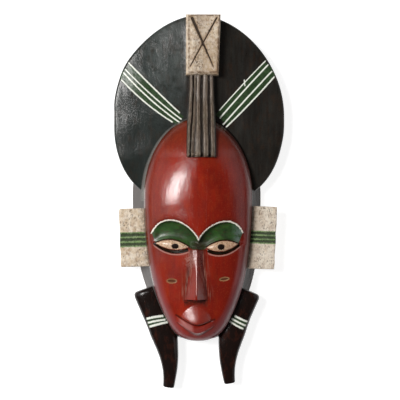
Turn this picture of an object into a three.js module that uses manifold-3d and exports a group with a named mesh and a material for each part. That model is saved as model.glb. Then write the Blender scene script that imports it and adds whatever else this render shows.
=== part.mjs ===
// A carved wooden face mask with an oval crest, in the style of the Senufo kpelie masks.
// It is cut from one block of wood: a hollow egg-shaped face on a slanting side wall, a flat oval
// crest board behind the forehead, a block and a fluted tress on the crest, two ear blocks and two horns.
// Millimetres. The mask lies on its back: +Z is out of the face, +Y runs from the chin to the crest,
// and +X is to the right of someone who looks at the face. Z = 0 is the rim that touches the wall.
import * as THREE from "three";
import { mergeVertices } from "three/addons/utils/BufferGeometryUtils.js";
import Module from "manifold-3d";

// Driving dimensions

// The plane where the red face begins: the face rises from it, and the side wall falls behind it.
const EDGE_Z = 42;

// Face: an egg with its widest line at y. Exponents above 2 make its outline and its section fuller.
const FACE = { x: -1.4, y: 7.3, half: 76, up: 114, down: 201, height: 38 };
const FACE_FULL = { outline: 2.2, chin: 2.6, section: 2.2 };

// Below the brows the egg is cut back to a flatter surface, which the cheeks keep.
const CHEEK = { middleZ: 69.5, bow: 0.0014, blend: 4 };

// Back rim of the side wall, where the mask touches the wall or the table.
const RIM = { x: -3.5, y: 7.3, half: 92, up: 128, down: 199, full: 2.1 };

// Hollow behind the face.
const HOLLOW = { x: -3, y: 0, half: 77, up: 118, down: 176, depth: 52 };

// Brows: each is a cubic curve from the point between the eyes to the temple.
const BROW_LEFT = [[0.3, -54.3], [-10, -29], [-48, -10], [-65, -43.6]];
const BROW_RIGHT = [[0.3, -54.3], [9, -32], [48, -12], [62, -42.5]];
const BROW_EDGE = 3.5; // the cut back below the brow takes place over this much of the height

// Eyelids: hollow between the brow and the eye, with a rolled edge above the eye.
const LID = { scoop: 3.8, back: 3.2, edge: 1.6, fadeFrom: 54, fadeTo: 68 };

// Eyes: inner and outer corner, rise of the upper edge, sag of the lower edge.
// The slit below each eye has its own corners and sag, and is cut right through.
const EYE_LEFT = {
  inner: [-12.6, -63.7], outer: [-60.5, -58], rise: 7.6, sag: 6.5,
  slitInner: [-14, -69.4], slitOuter: [-63.5, -59.4], slitSag: 7.8,
};
const EYE_RIGHT = {
  inner: [9.6, -63.7], outer: [55.5, -58.6], rise: 7.4, sag: 8,
  slitInner: [11.8, -70], slitOuter: [57.5, -61.4], slitSag: 7.8,
};
const EYE_BULGE = 6;

// Nose: a roof-shaped wedge that widens and rises from the root down to a square-cut tip.
const NOSE = {
  x: -3.4, rootY: -60, tipY: -133.5, rootHalf: 7, tipHalf: 18, rootRise: 2, tipRise: 21, ridge: 1.6,
};
const NOSE_UNDERCUT = 1.6;

// Mouth: a rounded upper lip over a curved V-shaped slit, and a lower lip that follows it.
const UPPER_LIP = { x: -4.8, y: -154, half: [23, 25], rise: 15 };
const MOUTH_LINE = { x: -2.5, y: -171, slope: 0.78, round: 10, width: 2.4, depth: 2.5 };
const LOWER_LIP = { x: -2.5, y: -188, slope: 1.12, round: 12, rise: 7, corner: 27 };

// Lens-shaped cut on each cheek: middle, half length, half height, depth.
const CHEEK_CUTS = [
  { at: [-37.8, -110.2], half: [8.4, 4], turn: -0.03 },
  { at: [35.2, -106.8], half: [8.4, 3.4], turn: 0.12 },
];
const CHEEK_CUT_DEPTH = 1.8;

// Crest board: an egg, narrower at the top. Its front is crowned: the rim lies lower than the middle.
const CREST = {
  x: -0.7, y: 125.5, half: 120.8, up: 137, down: 132.4, fullUp: 1.83, fullDown: 2.54,
  front: 40.5, crown: 6, back: 18, edgeRound: 3.5,
};

// Block at the top of the crest. Its front edges are bevelled.
const BLOCK = {
  left: -18.3, rightTop: 30.2, rightBottom: 27.2, top: 260.8, bottom: 175.5, back: 24, front: 60,
};
const BLOCK_BEVEL = { left: 4.2, right: 2, top: 2.2, bottom: 4, depth: 6 };
const BLOCK_CUTS = [
  { from: [-7.8, 253.8], to: [19.6, 188.2], width: 3.2 },
  { from: [23.5, 254.7], to: [-12.1, 187.6], width: 2.2 },
];
const BLOCK_CUT_DEPTH = 2;

// Tress: flutes cut along a raised band that runs from the block down over the forehead.
const TRESS = { x: 3.2, half: 20.6, top: 188, bottom: 60.6, rise: 13.5, lipRise: 7, fluteDepth: 3.6 };
const TRESS_GROOVES = [-15.6, -10.2, -0.4, 10]; // from the middle of the band

// Ear blocks: a slab on each side, with three grooves in a band across the middle.
const EAR_LEFT = {
  top: -9.6, bottom: -91.8, outerTop: -111, outerBottom: -108.4, inner: -62, slant: -1.6,
  band: [-63.4, -43.4],
};
const EAR_RIGHT = {
  top: -6.4, bottom: -94.8, outerTop: 107.6, outerBottom: 104.8, inner: 60, slant: -2,
  band: [-58.6, -41.4],
};
const EAR = { front: 41, droop: 3.5, back: 24, bevel: 1.5, grooves: 3, grooveDepth: 1.4 };

// Horns: a cubic curve for the middle line, from the square-cut top to the narrow tip.
const HORN_LEFT = [[-73.7, -127.3], [-57, -170], [-39, -205], [-42.6, -264.5]];
const HORN_RIGHT = [[66.5, -129.9], [53, -168], [38, -203], [42.6, -257.8]];
const HORN = {
  topHalf: 17.7, tipHalf: 5.8, taperFrom: 0.38, taperTo: 1.07, middleZ: 24, topDepth: 14, tipDepth: 6.5,
  full: 2.8, endInset: 1.8, topRound: 0.035, tipRound: 0.985,
};

// Edges shorter than this are closed up after the pieces are joined.
const SHORTEST_EDGE = 0.05;

const wasm = await Module();
wasm.setup();

// Helpers

const clamp = (x, low, high) => Math.min(Math.max(x, low), high);
const mix = (a, b, t) => a + (b - a) * t;

// 0 below a, 1 above b, and an S-shaped curve between them.
function smooth(a, b, x) {
  const t = clamp((x - a) / (b - a), 0, 1);
  return t * t * (3 - 2 * t);
}

// Half width, from 1 to 0, of a rounded outline at t from 0 in the middle to 1 or -1 at its end.
const rounded = (t, exponent) => Math.max(0, 1 - Math.abs(t) ** exponent) ** (1 / exponent);

// A closed manifold solid through rings of points, all with the same number of points.
// A ring that has shrunk to a point or a line needs no cap.
function solidThrough(rings, { startCap = true, endCap = true } = {}) {
  const count = rings[0].length;
  const positions = rings.flat();
  const triangles = [];
  for (let i = 0; i + 1 < rings.length; i++) {
    for (let j = 0; j < count; j++) {
      const next = (j + 1) % count;
      const [a, b, c, d] = [i * count + j, i * count + next, (i + 1) * count + next, (i + 1) * count + j];
      triangles.push([a, b, c], [a, c, d]);
    }
  }
  const middle = (ring) => [0, 1, 2].map((k) => ring.reduce((sum, p) => sum + p[k], 0) / count);
  const last = (rings.length - 1) * count;
  if (startCap) positions.push(middle(rings[0]));
  const start = positions.length - 1;
  if (endCap) positions.push(middle(rings.at(-1)));
  const end = positions.length - 1;
  for (let j = 0; j < count; j++) {
    const next = (j + 1) % count;
    if (startCap) triangles.push([start, next, j]);
    if (endCap) triangles.push([end, last + j, last + next]);
  }
  return solidOf(positions, triangles);
}

function solidOf(positions, triangles) {
  const geometry = new THREE.BufferGeometry();
  geometry.setAttribute("position", new THREE.Float32BufferAttribute(positions.flat(), 3));
  geometry.setIndex(triangles.flat());
  return toSolid(geometry);
}

// A geometry as a solid: points that coincide are merged, triangles that collapse are dropped,
// and the faces are turned outwards.
function toSolid(geometry) {
  geometry.deleteAttribute("normal");
  geometry.deleteAttribute("uv");
  const merged = mergeVertices(geometry, 1e-3);
  const index = merged.index.array;
  const kept = [];
  for (let i = 0; i < index.length; i += 3) {
    const [a, b, c] = [index[i], index[i + 1], index[i + 2]];
    if (a !== b && b !== c && a !== c) kept.push(a, b, c);
  }
  const point = (i) => new THREE.Vector3().fromBufferAttribute(merged.attributes.position, i);
  let volume = 0;
  for (let i = 0; i < kept.length; i += 3) {
    volume += point(kept[i]).dot(point(kept[i + 1]).cross(point(kept[i + 2]))) / 6;
  }
  const triVerts = new Uint32Array(volume < 0 ? kept.reverse() : kept);
  const vertProperties = new Float32Array(merged.attributes.position.array);
  return new wasm.Manifold(new wasm.Mesh({ numProp: 3, vertProperties, triVerts }));
}

// Points along a curve given by its control points (quadratic for three, cubic for four).
function curvePoint(controls, t) {
  let points = controls;
  while (points.length > 1) {
    points = points.slice(1).map((p, i) => [mix(points[i][0], p[0], t), mix(points[i][1], p[1], t)]);
  }
  return points[0];
}

// Face

// Share of the way from the widest line, 0, to the crown, 1, or to the chin, -1.
const faceShare = (y) => (y > FACE.y ? (y - FACE.y) / FACE.up : (y - FACE.y) / FACE.down);
const faceHalf = (t) => FACE.half * rounded(t, t > 0 ? 2 : FACE_FULL.outline);
const faceProfile = (t) => FACE.height * rounded(t, t > 0 ? 2 : FACE_FULL.chin);

const BROW_SAMPLES = 24;
const browTable = [BROW_LEFT, BROW_RIGHT].map((controls) =>
  Array.from({ length: BROW_SAMPLES + 1 }, (_, i) => curvePoint(controls, i / BROW_SAMPLES)),
);

// Height of the brow line at x.
function browLine(x) {
  const table = x < BROW_LEFT[0][0] ? browTable[0] : browTable[1];
  const reach = Math.abs(x - table[0][0]);
  for (let i = 1; i < table.length; i++) {
    const [near, far] = [Math.abs(table[i - 1][0] - table[0][0]), Math.abs(table[i][0] - table[0][0])];
    if (reach <= far) return mix(table[i - 1][1], table[i][1], (reach - near) / (far - near));
  }
  return table.at(-1)[1];
}

// Straight line between two corners, bent by bow: positive rises, negative sags.
function bentLine(inner, outer, bow, x) {
  const u = clamp((x - inner[0]) / (outer[0] - inner[0]), 0, 1);
  return mix(inner[1], outer[1], u) + bow * 4 * u * (1 - u);
}

const eyeAt = (x) => (x < BROW_LEFT[0][0] ? EYE_LEFT : EYE_RIGHT);
const eyeTop = (x, eye = eyeAt(x)) => bentLine(eye.inner, eye.outer, eye.rise, x);
const eyeBottom = (x, eye = eyeAt(x)) => bentLine(eye.inner, eye.outer, -eye.sag, x);
const slitBottom = (x, eye = eyeAt(x)) => bentLine(eye.slitInner, eye.slitOuter, -eye.slitSag, x);
const slitMiddle = (x) => (eyeBottom(x) + slitBottom(x)) / 2;

// A V with a rounded point, opening upwards.
const veeLine = (line, x) => line.y + line.slope * (Math.hypot(x - line.x, line.round) - line.round);
const mouthLine = (x) => veeLine(MOUTH_LINE, x);
const lowerLipLine = (x) => veeLine(LOWER_LIP, x);

// How far the lid lies behind the cheeks, and the eyeball in it.
function eyeRise(x, y) {
  const [top, brow, middle] = [eyeTop(x), browLine(x), slitMiddle(x)];
  const share = clamp((y - top) / (brow - top), 0, 1);
  const edge = mix(LID.back, 0.4, smooth(0, LID.edge, y - top));
  const lid = (edge + LID.scoop * Math.sin(Math.PI * share)) * smooth(1, 0.8, share);
  const fade = 1 - smooth(LID.fadeFrom, LID.fadeTo, Math.abs(x));
  const eye = eyeAt(x);
  const u = clamp((x - eye.inner[0]) / (eye.outer[0] - eye.inner[0]), 0, 1);
  const v = clamp((2 * y - top - middle) / (top - middle), -1, 1);
  const ball = EYE_BULGE * Math.sqrt(1 - v * v) * Math.sqrt(4 * u * (1 - u));
  return ball - lid * fade * smooth(middle - 1, middle + 1, y);
}

const noseShare = (y) => clamp((NOSE.rootY - y) / (NOSE.rootY - NOSE.tipY), 0, 1);
const noseHalf = (y) => mix(NOSE.rootHalf, NOSE.tipHalf, noseShare(y));

function noseRise(x, y) {
  const across = Math.min(1, (Math.hypot(x - NOSE.x, NOSE.ridge) - NOSE.ridge * 0.5) / noseHalf(y));
  const section = mix(1 - across, smooth(1, 0, across), 0.45);
  const above = smooth(NOSE.rootY + 5, NOSE.rootY - 7, y);
  const below = smooth(NOSE.tipY - NOSE_UNDERCUT, NOSE.tipY, y);
  const tip = mix(0.88, 1, smooth(NOSE.tipY, NOSE.tipY + 6, y));
  return mix(NOSE.rootRise, NOSE.tipRise, noseShare(y)) * section * above * below * tip;
}

function mouthRise(x, y) {
  const [dx, dy] = [(x - UPPER_LIP.x) / UPPER_LIP.half[0], (y - UPPER_LIP.y) / UPPER_LIP.half[1]];
  const [split, low] = [mouthLine(x), lowerLipLine(x)];
  const half = MOUTH_LINE.width / 2;
  const dome = Math.max(0, 1 - dx * dx - dy * dy) ** 1.2;
  const upperLip = UPPER_LIP.rise * dome * smooth(split - half, split + half, y);
  const corners = 1 - smooth(LOWER_LIP.corner * 0.7, LOWER_LIP.corner, Math.abs(x - LOWER_LIP.x));
  const share = clamp((y - low) / Math.max(1, split - half - low), 0, 1);
  const lowerLip = LOWER_LIP.rise * smooth(0, 0.35, share) * (1 - smooth(0.7, 1, share)) * corners;
  const groove = MOUTH_LINE.depth * (1 - smooth(0, 2.5, Math.abs(y - split + half))) * corners;
  return upperLip + lowerLip - groove;
}

// Stations along a line: each stretch is [end, number of steps].
function stations(start, stretches) {
  const found = [start];
  for (const [end, steps] of stretches) {
    const from = found.at(-1);
    for (let i = 1; i <= steps; i++) found.push(mix(from, end, i / steps));
  }
  return found;
}

// The smaller of two numbers, with the corner between them rounded.
function smoothMin(a, b, blend) {
  const h = clamp(0.5 + (b - a) / (2 * blend), 0, 1);
  return mix(b, a, h) - blend * h * (1 - h);
}

// Height of the face at (x, y): an egg, cut back below the brows, with lids, eyes, nose and mouth on it.
function faceZ(x, y) {
  const t = faceShare(y);
  const across = clamp(Math.abs(x - FACE.x) / Math.max(faceHalf(t), 1e-6), 0, 1);
  const egg = EDGE_Z + faceProfile(t) * rounded(across, FACE_FULL.section);
  const cheek = CHEEK.middleZ - CHEEK.bow * (x - FACE.x) ** 2;
  const base = mix(egg, smoothMin(egg, cheek, CHEEK.blend), smooth(0, BROW_EDGE, browLine(x) - y));
  return base + (eyeRise(x, y) + noseRise(x, y) + mouthRise(x, y)) * smooth(1, 0.88, across);
}

// Rows of the face from the chin to the crown, as lines that follow the carving: the nominal height,
// the line itself and the shares at which rows lie between the line before and this one.
const level = (y) => () => y;
const NOSE_FOOT = NOSE.tipY - NOSE_UNDERCUT;
const CROWN = FACE.y + FACE.up;
const FACE_ROWS = [
  { y: -185.5, line: lowerLipLine, shares: [0.08, 0.3, 0.65, 1] },
  { y: -170.2, line: (x) => mouthLine(x) - MOUTH_LINE.width / 2, shares: [0.2, 0.45, 0.75, 1] },
  { y: -167.8, line: (x) => mouthLine(x) + MOUTH_LINE.width / 2, shares: [1] },
  { y: NOSE_FOOT, line: level(NOSE_FOOT), shares: [0.12, 0.3, 0.5, 0.7, 0.9, 1] },
  { y: NOSE.tipY, line: level(NOSE.tipY), shares: [1] },
  { y: -71, line: slitMiddle, shares: [0.1, 0.25, 0.42, 0.59, 0.76, 0.9, 1] },
  { y: -56, line: eyeTop, shares: [0.1, 0.3, 0.5, 0.7, 0.88, 1] },
  { y: -34, line: (x) => browLine(x) - BROW_EDGE, shares: [0.1, 0.25, 0.5, 0.75, 1] },
  { y: -30.5, line: browLine, shares: [0.5, 1] },
  { y: 40, line: level(40), shares: [0.08, 0.25, 0.45, 0.7, 1] },
  { y: CROWN, line: level(CROWN), shares: [0.25, 0.5, 0.7, 0.83, 0.92, 0.975, 0.995, 1] },
];

// Columns of the face: steps from the outline to the foot of the nose and from there to its ridge.
const COLUMNS = { side: 13, nose: 3 };

// Where the columns of a row lie, from the left outline to the right one.
function columns(y) {
  const half = faceHalf(faceShare(y));
  const ridge = mix(FACE.x, NOSE.x, Math.min(1, half / 40));
  const foot = Math.min(noseHalf(y), half * 0.3);
  const found = [];
  for (const side of [-1, 1]) {
    const edge = FACE.x + side * half;
    const from = ridge + side * foot;
    const run = [];
    for (let i = 0; i <= COLUMNS.side; i++) {
      const u = i / COLUMNS.side;
      run.push(mix(from, edge, mix(u, Math.sin((u * Math.PI) / 2), 0.4)));
    }
    const last = side > 0 ? COLUMNS.nose : COLUMNS.nose - 1; // the ridge itself belongs to the right half
    for (let i = 1; i <= last; i++) run.unshift(mix(from, ridge, i / COLUMNS.nose));
    found.push(side < 0 ? run.reverse() : run);
  }
  return found.flat();
}

// The solid face and side wall. Each ring runs over the front from left to right, down the right wall
// to the rim, across the back and up the left wall.
function faceBody() {
  const WALL_STEPS = 2;
  const rings = [];
  const addRing = (nominal, lineAt) => {
    const t = faceShare(nominal);
    const half = faceHalf(t);
    const xs = columns(nominal);
    const ring = xs.map((x, j) => {
      const across = half > 0 ? Math.abs(x - FACE.x) / half : 1;
      const y = mix(lineAt(x), nominal, smooth(0.8, 1, across));
      return [x, y, j === 0 || j === xs.length - 1 ? EDGE_Z : faceZ(x, y)];
    });
    const rimHalf = RIM.half * rounded(t, RIM.full);
    const rimY = RIM.y + t * (t > 0 ? RIM.up : RIM.down);
    const wall = (side, share) => [
      mix(FACE.x + side * half, RIM.x + side * rimHalf, share),
      mix(nominal, rimY, share),
      mix(EDGE_Z, 0, share),
    ];
    for (let j = 1; j <= WALL_STEPS; j++) ring.push(wall(1, j / WALL_STEPS));
    for (let j = WALL_STEPS; j >= 1; j--) ring.push(wall(-1, j / WALL_STEPS));
    rings.push(ring);
  };
  const chin = FACE.y - FACE.down;
  let before = { y: chin, line: level(chin) };
  addRing(chin, before.line);
  for (const row of FACE_ROWS) {
    const { y, line } = before;
    for (const share of row.shares) addRing(mix(y, row.y, share), (x) => mix(line(x), row.line(x), share));
    before = row;
  }
  return solidThrough(rings, { startCap: false, endCap: false });
}

// Half an egg, widest at the rim, that is cut out behind the face.
function hollowPlug() {
  const RINGS = 9;
  const AROUND = 26;
  const BELOW = -4;
  const rings = [];
  for (let i = 0; i <= RINGS; i++) {
    const angle = (i / RINGS) * (Math.PI / 2);
    const z = i === 0 ? BELOW : HOLLOW.depth * Math.sin(angle);
    const size = i === 0 ? 1 : Math.cos(angle) ** 0.8;
    const ring = [];
    for (let j = 0; j < AROUND; j++) {
      const turn = (2 * Math.PI * j) / AROUND;
      const [c, s] = [Math.cos(turn), Math.sin(turn)];
      const reach = s > 0 ? HOLLOW.up : HOLLOW.down;
      ring.push([HOLLOW.x + HOLLOW.half * size * c, HOLLOW.y + reach * size * s, z]);
    }
    rings.push(ring);
  }
  return solidThrough(rings, { endCap: false });
}

// A crescent between the lower edge of the eye and the lower edge of the slit, cut right through.
function slitCutter(eye) {
  const STEPS = 10;
  const outline = [];
  for (let i = 0; i <= STEPS; i++) {
    const x = mix(eye.slitInner[0], eye.slitOuter[0], i / STEPS);
    outline.push([x, slitBottom(x, eye)]);
  }
  for (let i = STEPS - 1; i >= 1; i--) {
    const x = mix(eye.slitInner[0], eye.slitOuter[0], i / STEPS);
    outline.push([x, eyeBottom(x, eye)]);
  }
  return prism(outline, 30, 100);
}

// A thin lens standing in the cheek.
function cheekCutter({ at, half, turn }) {
  const z = faceZ(at[0], at[1]);
  const lens = new THREE.SphereGeometry(1, 12, 8).rotateX(Math.PI / 2);
  lens.scale(half[0], half[1], CHEEK_CUT_DEPTH).rotateZ(turn).translate(at[0], at[1], z);
  return toSolid(lens);
}

// A straight prism along Z on a closed outline.
function prism(outline, low, high) {
  const shape = new THREE.Shape(outline.map(([x, y]) => new THREE.Vector2(x, y)));
  const geometry = new THREE.ExtrudeGeometry(shape, { depth: high - low, bevelEnabled: false });
  return toSolid(geometry.translate(0, 0, low));
}

// Crest

// Point of the crest at a turn around its middle, at a share of the way to an outline drawn in by inset.
const crestPoint = (turn, inset, share = 1) => {
  const [c, s] = [Math.cos(turn), Math.sin(turn)];
  const power = 2 / (s > 0 ? CREST.fullUp : CREST.fullDown);
  const across = (CREST.half - inset) * Math.sign(c) * Math.abs(c) ** power;
  const along = ((s > 0 ? CREST.up : CREST.down) - inset) * Math.sign(s) * Math.abs(s) ** power;
  return [CREST.x + share * across, CREST.y + share * along];
};

// The board: crowned in front, flat behind, with rounded edges.
function crestBoard() {
  const AROUND = 72;
  const { front, back, crown, edgeRound } = CREST;
  const rim = front - crown;
  const levels = [0.02, 0.4, 0.75].map((share) => [edgeRound, front - crown * share ** 2, share]);
  levels.push([edgeRound, rim, 1], [edgeRound * 0.3, rim - edgeRound * 0.3, 1], [0, rim - edgeRound, 1]);
  levels.push([0, back + edgeRound, 1], [edgeRound, back, 1]);
  const rings = levels.map(([inset, z, share]) =>
    Array.from({ length: AROUND }, (_, j) => [...crestPoint((2 * Math.PI * j) / AROUND, inset, share), z]),
  );
  return solidThrough(rings);
}

// A box with four corners at each level: [left, right, bottom, top, z].
function levelBox(levels) {
  return solidThrough(
    levels.map(([left, right, bottom, top, z, rightTop = right]) => [
      [left, bottom, z], [right, bottom, z], [rightTop, top, z], [left, top, z],
    ]),
  );
}

function crestBlock() {
  const { left, rightTop, rightBottom, top, bottom, back, front } = BLOCK;
  const bevel = BLOCK_BEVEL;
  const shoulder = front - bevel.depth;
  const block = levelBox([
    [left, rightBottom, bottom, top, back, rightTop],
    [left, rightBottom, bottom, top, shoulder, rightTop],
    [left + bevel.left, rightBottom - bevel.right, bottom + bevel.bottom, top - bevel.top, front,
      rightTop - bevel.right],
  ]);
  return BLOCK_CUTS.reduce((solid, cut) => solid.subtract(veeCutter(cut, front)), block);
}

// A V-shaped cutter along a straight line in a flat face at height z.
function veeCutter({ from, to, width }, z) {
  const direction = new THREE.Vector2(to[0] - from[0], to[1] - from[1]).normalize();
  const side = [-direction.y * width / 2, direction.x * width / 2];
  const profile = ([x, y]) => [
    [x, y, z - BLOCK_CUT_DEPTH], [x + side[0], y + side[1], z + 0.01], [x, y, z + 3],
    [x - side[0], y - side[1], z + 0.01],
  ];
  return solidThrough([profile(from), profile(to)]);
}

// Surface of the crest under the tress, with the forehead rising from it.
function tressBase(x, y) {
  const onFace = faceShare(y) < 1 ? faceZ(x, y) : EDGE_Z;
  return Math.max(CREST.front, onFace);
}

function tress() {
  const ACROSS = 24;
  const ys = stations(TRESS.bottom, [[TRESS.bottom + 2, 1], [125, 9], [TRESS.top, 5]]);
  const rings = ys.map((y, i) => {
    const rise = mix(TRESS.lipRise, TRESS.rise, smooth(70, 140, y));
    const ring = [];
    for (let j = 0; j <= ACROSS; j++) {
      const u = (2 * j) / ACROSS - 1;
      const x = TRESS.half * u;
      const nearest = Math.min(...TRESS_GROOVES.map((groove) => Math.abs(x - groove)));
      const flute = TRESS.fluteDepth * (1 - smooth(0, 3.2, nearest));
      const shoulder = 3 * Math.abs(u) ** 6;
      const end = i === 0 ? 1.5 : 0;
      // The band bridges the corner where the forehead meets the crest.
      const base = Math.max(tressBase(TRESS.x, y), EDGE_Z + 26 * (1 - smooth(75, 150, y)));
      ring.push([TRESS.x + x, y, base + rise - flute - shoulder - end]);
    }
    const foot = CREST.back + 4;
    ring.push([TRESS.x + TRESS.half, y, foot], [TRESS.x - TRESS.half, y, foot]);
    return ring;
  });
  return solidThrough(rings);
}

// Ears

// A slab with its long side along Y. Its front leans back to the outer edge, its ends slant,
// and the band is grooved.
function earBlock(ear) {
  const [low, high] = ear.band;
  const groove = (high - low) / EAR.grooves;
  const rows = [[ear.bottom, EAR.bevel, EAR.bevel], [ear.bottom + EAR.bevel, 0, 0], [low, 0, 0]];
  for (let i = 0; i < EAR.grooves; i++) {
    rows.push([low + groove * (i + 0.5), 0, EAR.grooveDepth], [low + groove * (i + 1), 0, 0]);
  }
  rows.push([ear.top - EAR.bevel, 0, 0], [ear.top, EAR.bevel, EAR.bevel]);
  const outward = Math.sign(ear.outerTop);
  const rings = rows.map(([y, inset, cut]) => {
    const up = (y - ear.bottom) / (ear.top - ear.bottom);
    const outer = mix(ear.outerBottom, ear.outerTop, up) - outward * inset;
    const front = EAR.front - cut - inset;
    const ring = [
      [ear.inner, EAR.back + inset],
      [ear.inner, front],
      [mix(ear.inner, outer, 0.55), front],
      [outer - outward * EAR.bevel, front - EAR.droop],
      [outer, front - EAR.droop - EAR.bevel],
      [outer, EAR.back + EAR.bevel + inset],
      [outer - outward * EAR.bevel, EAR.back + inset],
    ];
    return ring.map(([x, z]) => [x, y + (ear.slant * (x - ear.inner)) / (outer - ear.inner), z]);
  });
  return solidThrough(rings);
}

// Horns

function horn(controls) {
  const STEPS = 11;
  const AROUND = 14;
  const rings = [];
  for (const t of [0, ...stations(HORN.topRound, [[0.1, 1], [HORN.tipRound, STEPS - 1]]), 1]) {
    const [x, y] = curvePoint(controls, t);
    const ahead = curvePoint(controls, Math.min(1, t + 0.01));
    const behind = curvePoint(controls, Math.max(0, t - 0.01));
    const along = new THREE.Vector2(ahead[0] - behind[0], ahead[1] - behind[1]).normalize();
    const taper = smooth(HORN.taperFrom, HORN.taperTo, t);
    const endInset = t === 0 || t === 1 ? HORN.endInset : 0;
    const half = mix(HORN.topHalf, HORN.tipHalf, taper) - endInset;
    const depth = mix(HORN.topDepth, HORN.tipDepth, taper) - endInset;
    const ring = [];
    for (let j = 0; j < AROUND; j++) {
      const turn = (2 * Math.PI * (j + 0.5)) / AROUND;
      const [c, s] = [Math.cos(turn), Math.sin(turn)];
      const out = Math.sign(c) * Math.abs(c) ** (2 / HORN.full) * half;
      const up = Math.sign(s) * Math.abs(s) ** (2 / HORN.full) * depth;
      ring.push([x - along.y * out, y + along.x * out, HORN.middleZ + up]);
    }
    rings.push(ring);
  }
  return solidThrough(rings);
}

// Assembly: everything is joined into one carved solid.

const added = [
  crestBoard(), crestBlock(), tress(), earBlock(EAR_LEFT), earBlock(EAR_RIGHT),
  horn(HORN_LEFT), horn(HORN_RIGHT),
];
const removed = [hollowPlug(), slitCutter(EYE_LEFT), slitCutter(EYE_RIGHT), ...CHEEK_CUTS.map(cheekCutter)];
const joined = added.reduce((solid, piece) => solid.add(piece), faceBody());
const carved = removed.reduce((solid, cutter) => solid.subtract(cutter), joined);

// Joining leaves some edges too short to see. Both ends of each become one point, and its triangles go.
function withoutShortEdges({ numProp, vertProperties, triVerts, numVert }, shortest) {
  const point = (i) => new THREE.Vector3(...vertProperties.subarray(i * numProp, i * numProp + 3));
  const points = Array.from({ length: numVert }, (_, i) => point(i));
  const standIn = points.map((_, i) => i);
  const final = (i) => (standIn[i] === i ? i : final(standIn[i]));
  for (let i = 0; i < triVerts.length; i++) {
    const [a, b] = [final(triVerts[i]), final(triVerts[i % 3 === 2 ? i - 2 : i + 1])];
    if (a !== b && points[a].distanceTo(points[b]) < shortest) standIn[Math.max(a, b)] = Math.min(a, b);
  }
  const index = [];
  for (let i = 0; i < triVerts.length; i += 3) {
    const [a, b, c] = [final(triVerts[i]), final(triVerts[i + 1]), final(triVerts[i + 2])];
    if (a !== b && b !== c && a !== c) index.push(a, b, c);
  }
  const geometry = new THREE.BufferGeometry().setFromPoints(points);
  geometry.setIndex(index);
  return geometry;
}

const geometry = withoutShortEdges(carved.getMesh(), SHORTEST_EDGE);
geometry.computeVertexNormals();

const paintedWood = new THREE.MeshStandardMaterial({ color: "#8a2413", roughness: 0.45, metalness: 0 });
const mask = new THREE.Mesh(geometry, paintedWood);
mask.name = "mask";

const part = new THREE.Group();
part.add(mask);
export default part;
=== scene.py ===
# %% [markdown]
# # A carved and painted wooden face mask
# The real mask is cut from one block of light wood and painted: a red face, an oval black crest board with
# a pale block and a brown fluted tress on it, two pale ear blocks and two black horns. It lies on its back,
# and the camera looks straight down on it. This file rebuilds it as one closed mesh, paints it with
# procedural materials, and lights it like a product photograph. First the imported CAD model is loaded,
# because it fixes the size and the place.

# %% Load the frame
import math

import bmesh
import bpy
import numpy as np
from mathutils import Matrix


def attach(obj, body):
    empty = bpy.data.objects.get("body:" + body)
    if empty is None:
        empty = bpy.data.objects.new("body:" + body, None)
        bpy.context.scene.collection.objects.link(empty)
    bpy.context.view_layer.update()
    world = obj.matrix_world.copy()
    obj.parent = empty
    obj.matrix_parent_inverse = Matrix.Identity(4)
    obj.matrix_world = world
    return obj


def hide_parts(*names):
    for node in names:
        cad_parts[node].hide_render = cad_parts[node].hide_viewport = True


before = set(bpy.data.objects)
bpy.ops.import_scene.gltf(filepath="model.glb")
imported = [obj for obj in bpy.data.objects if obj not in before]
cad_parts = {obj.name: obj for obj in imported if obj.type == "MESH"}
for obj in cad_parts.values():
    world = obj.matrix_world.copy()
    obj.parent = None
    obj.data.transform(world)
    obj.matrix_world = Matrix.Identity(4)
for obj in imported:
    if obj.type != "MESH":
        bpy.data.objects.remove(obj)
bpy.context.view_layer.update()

MM = 0.001  # shapes are worked out in millimetres, as a carver would, and stored in metres

# %% [markdown]
# ## Small tools for shapes
# Every form below is a height or a profile that is a formula of two parameters. These few functions are the
# words that the formulas are made of: blends, rounded outlines and curves. They take whole arrays.


# %% Blends and curves
def mix(a, b, t):
    """From a at t = 0 to b at t = 1, in a straight line."""
    return a + (b - a) * t


def smooth(a, b, x):
    """0 up to a, 1 past b, and an S-shaped curve between them: 3t squared less 2t cubed."""
    t = np.clip((x - a) / (b - a), 0, 1)
    return t * t * (3 - 2 * t)


def rounded(t, exponent):
    """Half width, from 1 to 0, of a rounded outline at t: the root of 1 less |t| to the exponent."""
    return np.maximum(0, 1 - np.abs(t) ** exponent) ** (1 / exponent)


def arc(t):
    """A quarter circle that leaves 0 steeply and arrives flat at 1."""
    return np.sqrt(np.maximum(0, 1 - (1 - np.clip(t, 0, 1)) ** 2))


def full_turn(count):
    """Angles of even steps round a circle, with their cosines and sines."""
    turn = 2 * math.pi * np.arange(count) / count
    return turn, np.cos(turn), np.sin(turn)


def squared_off(wave, power):
    """A cosine or a sine to a power, with its sign kept: below 1, the circle comes out squarer."""
    return np.sign(wave) * np.abs(wave) ** power


def bezier(points, t):
    """Cubic curve: the four points weighted by the cubic Bernstein polynomials of t."""
    p, t = np.asarray(points, float), np.asarray(t, float)[..., None]
    return (1 - t) ** 3 * p[0] + 3 * (1 - t) ** 2 * t * p[1] + 3 * (1 - t) * t**2 * p[2] + t**3 * p[3]


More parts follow.
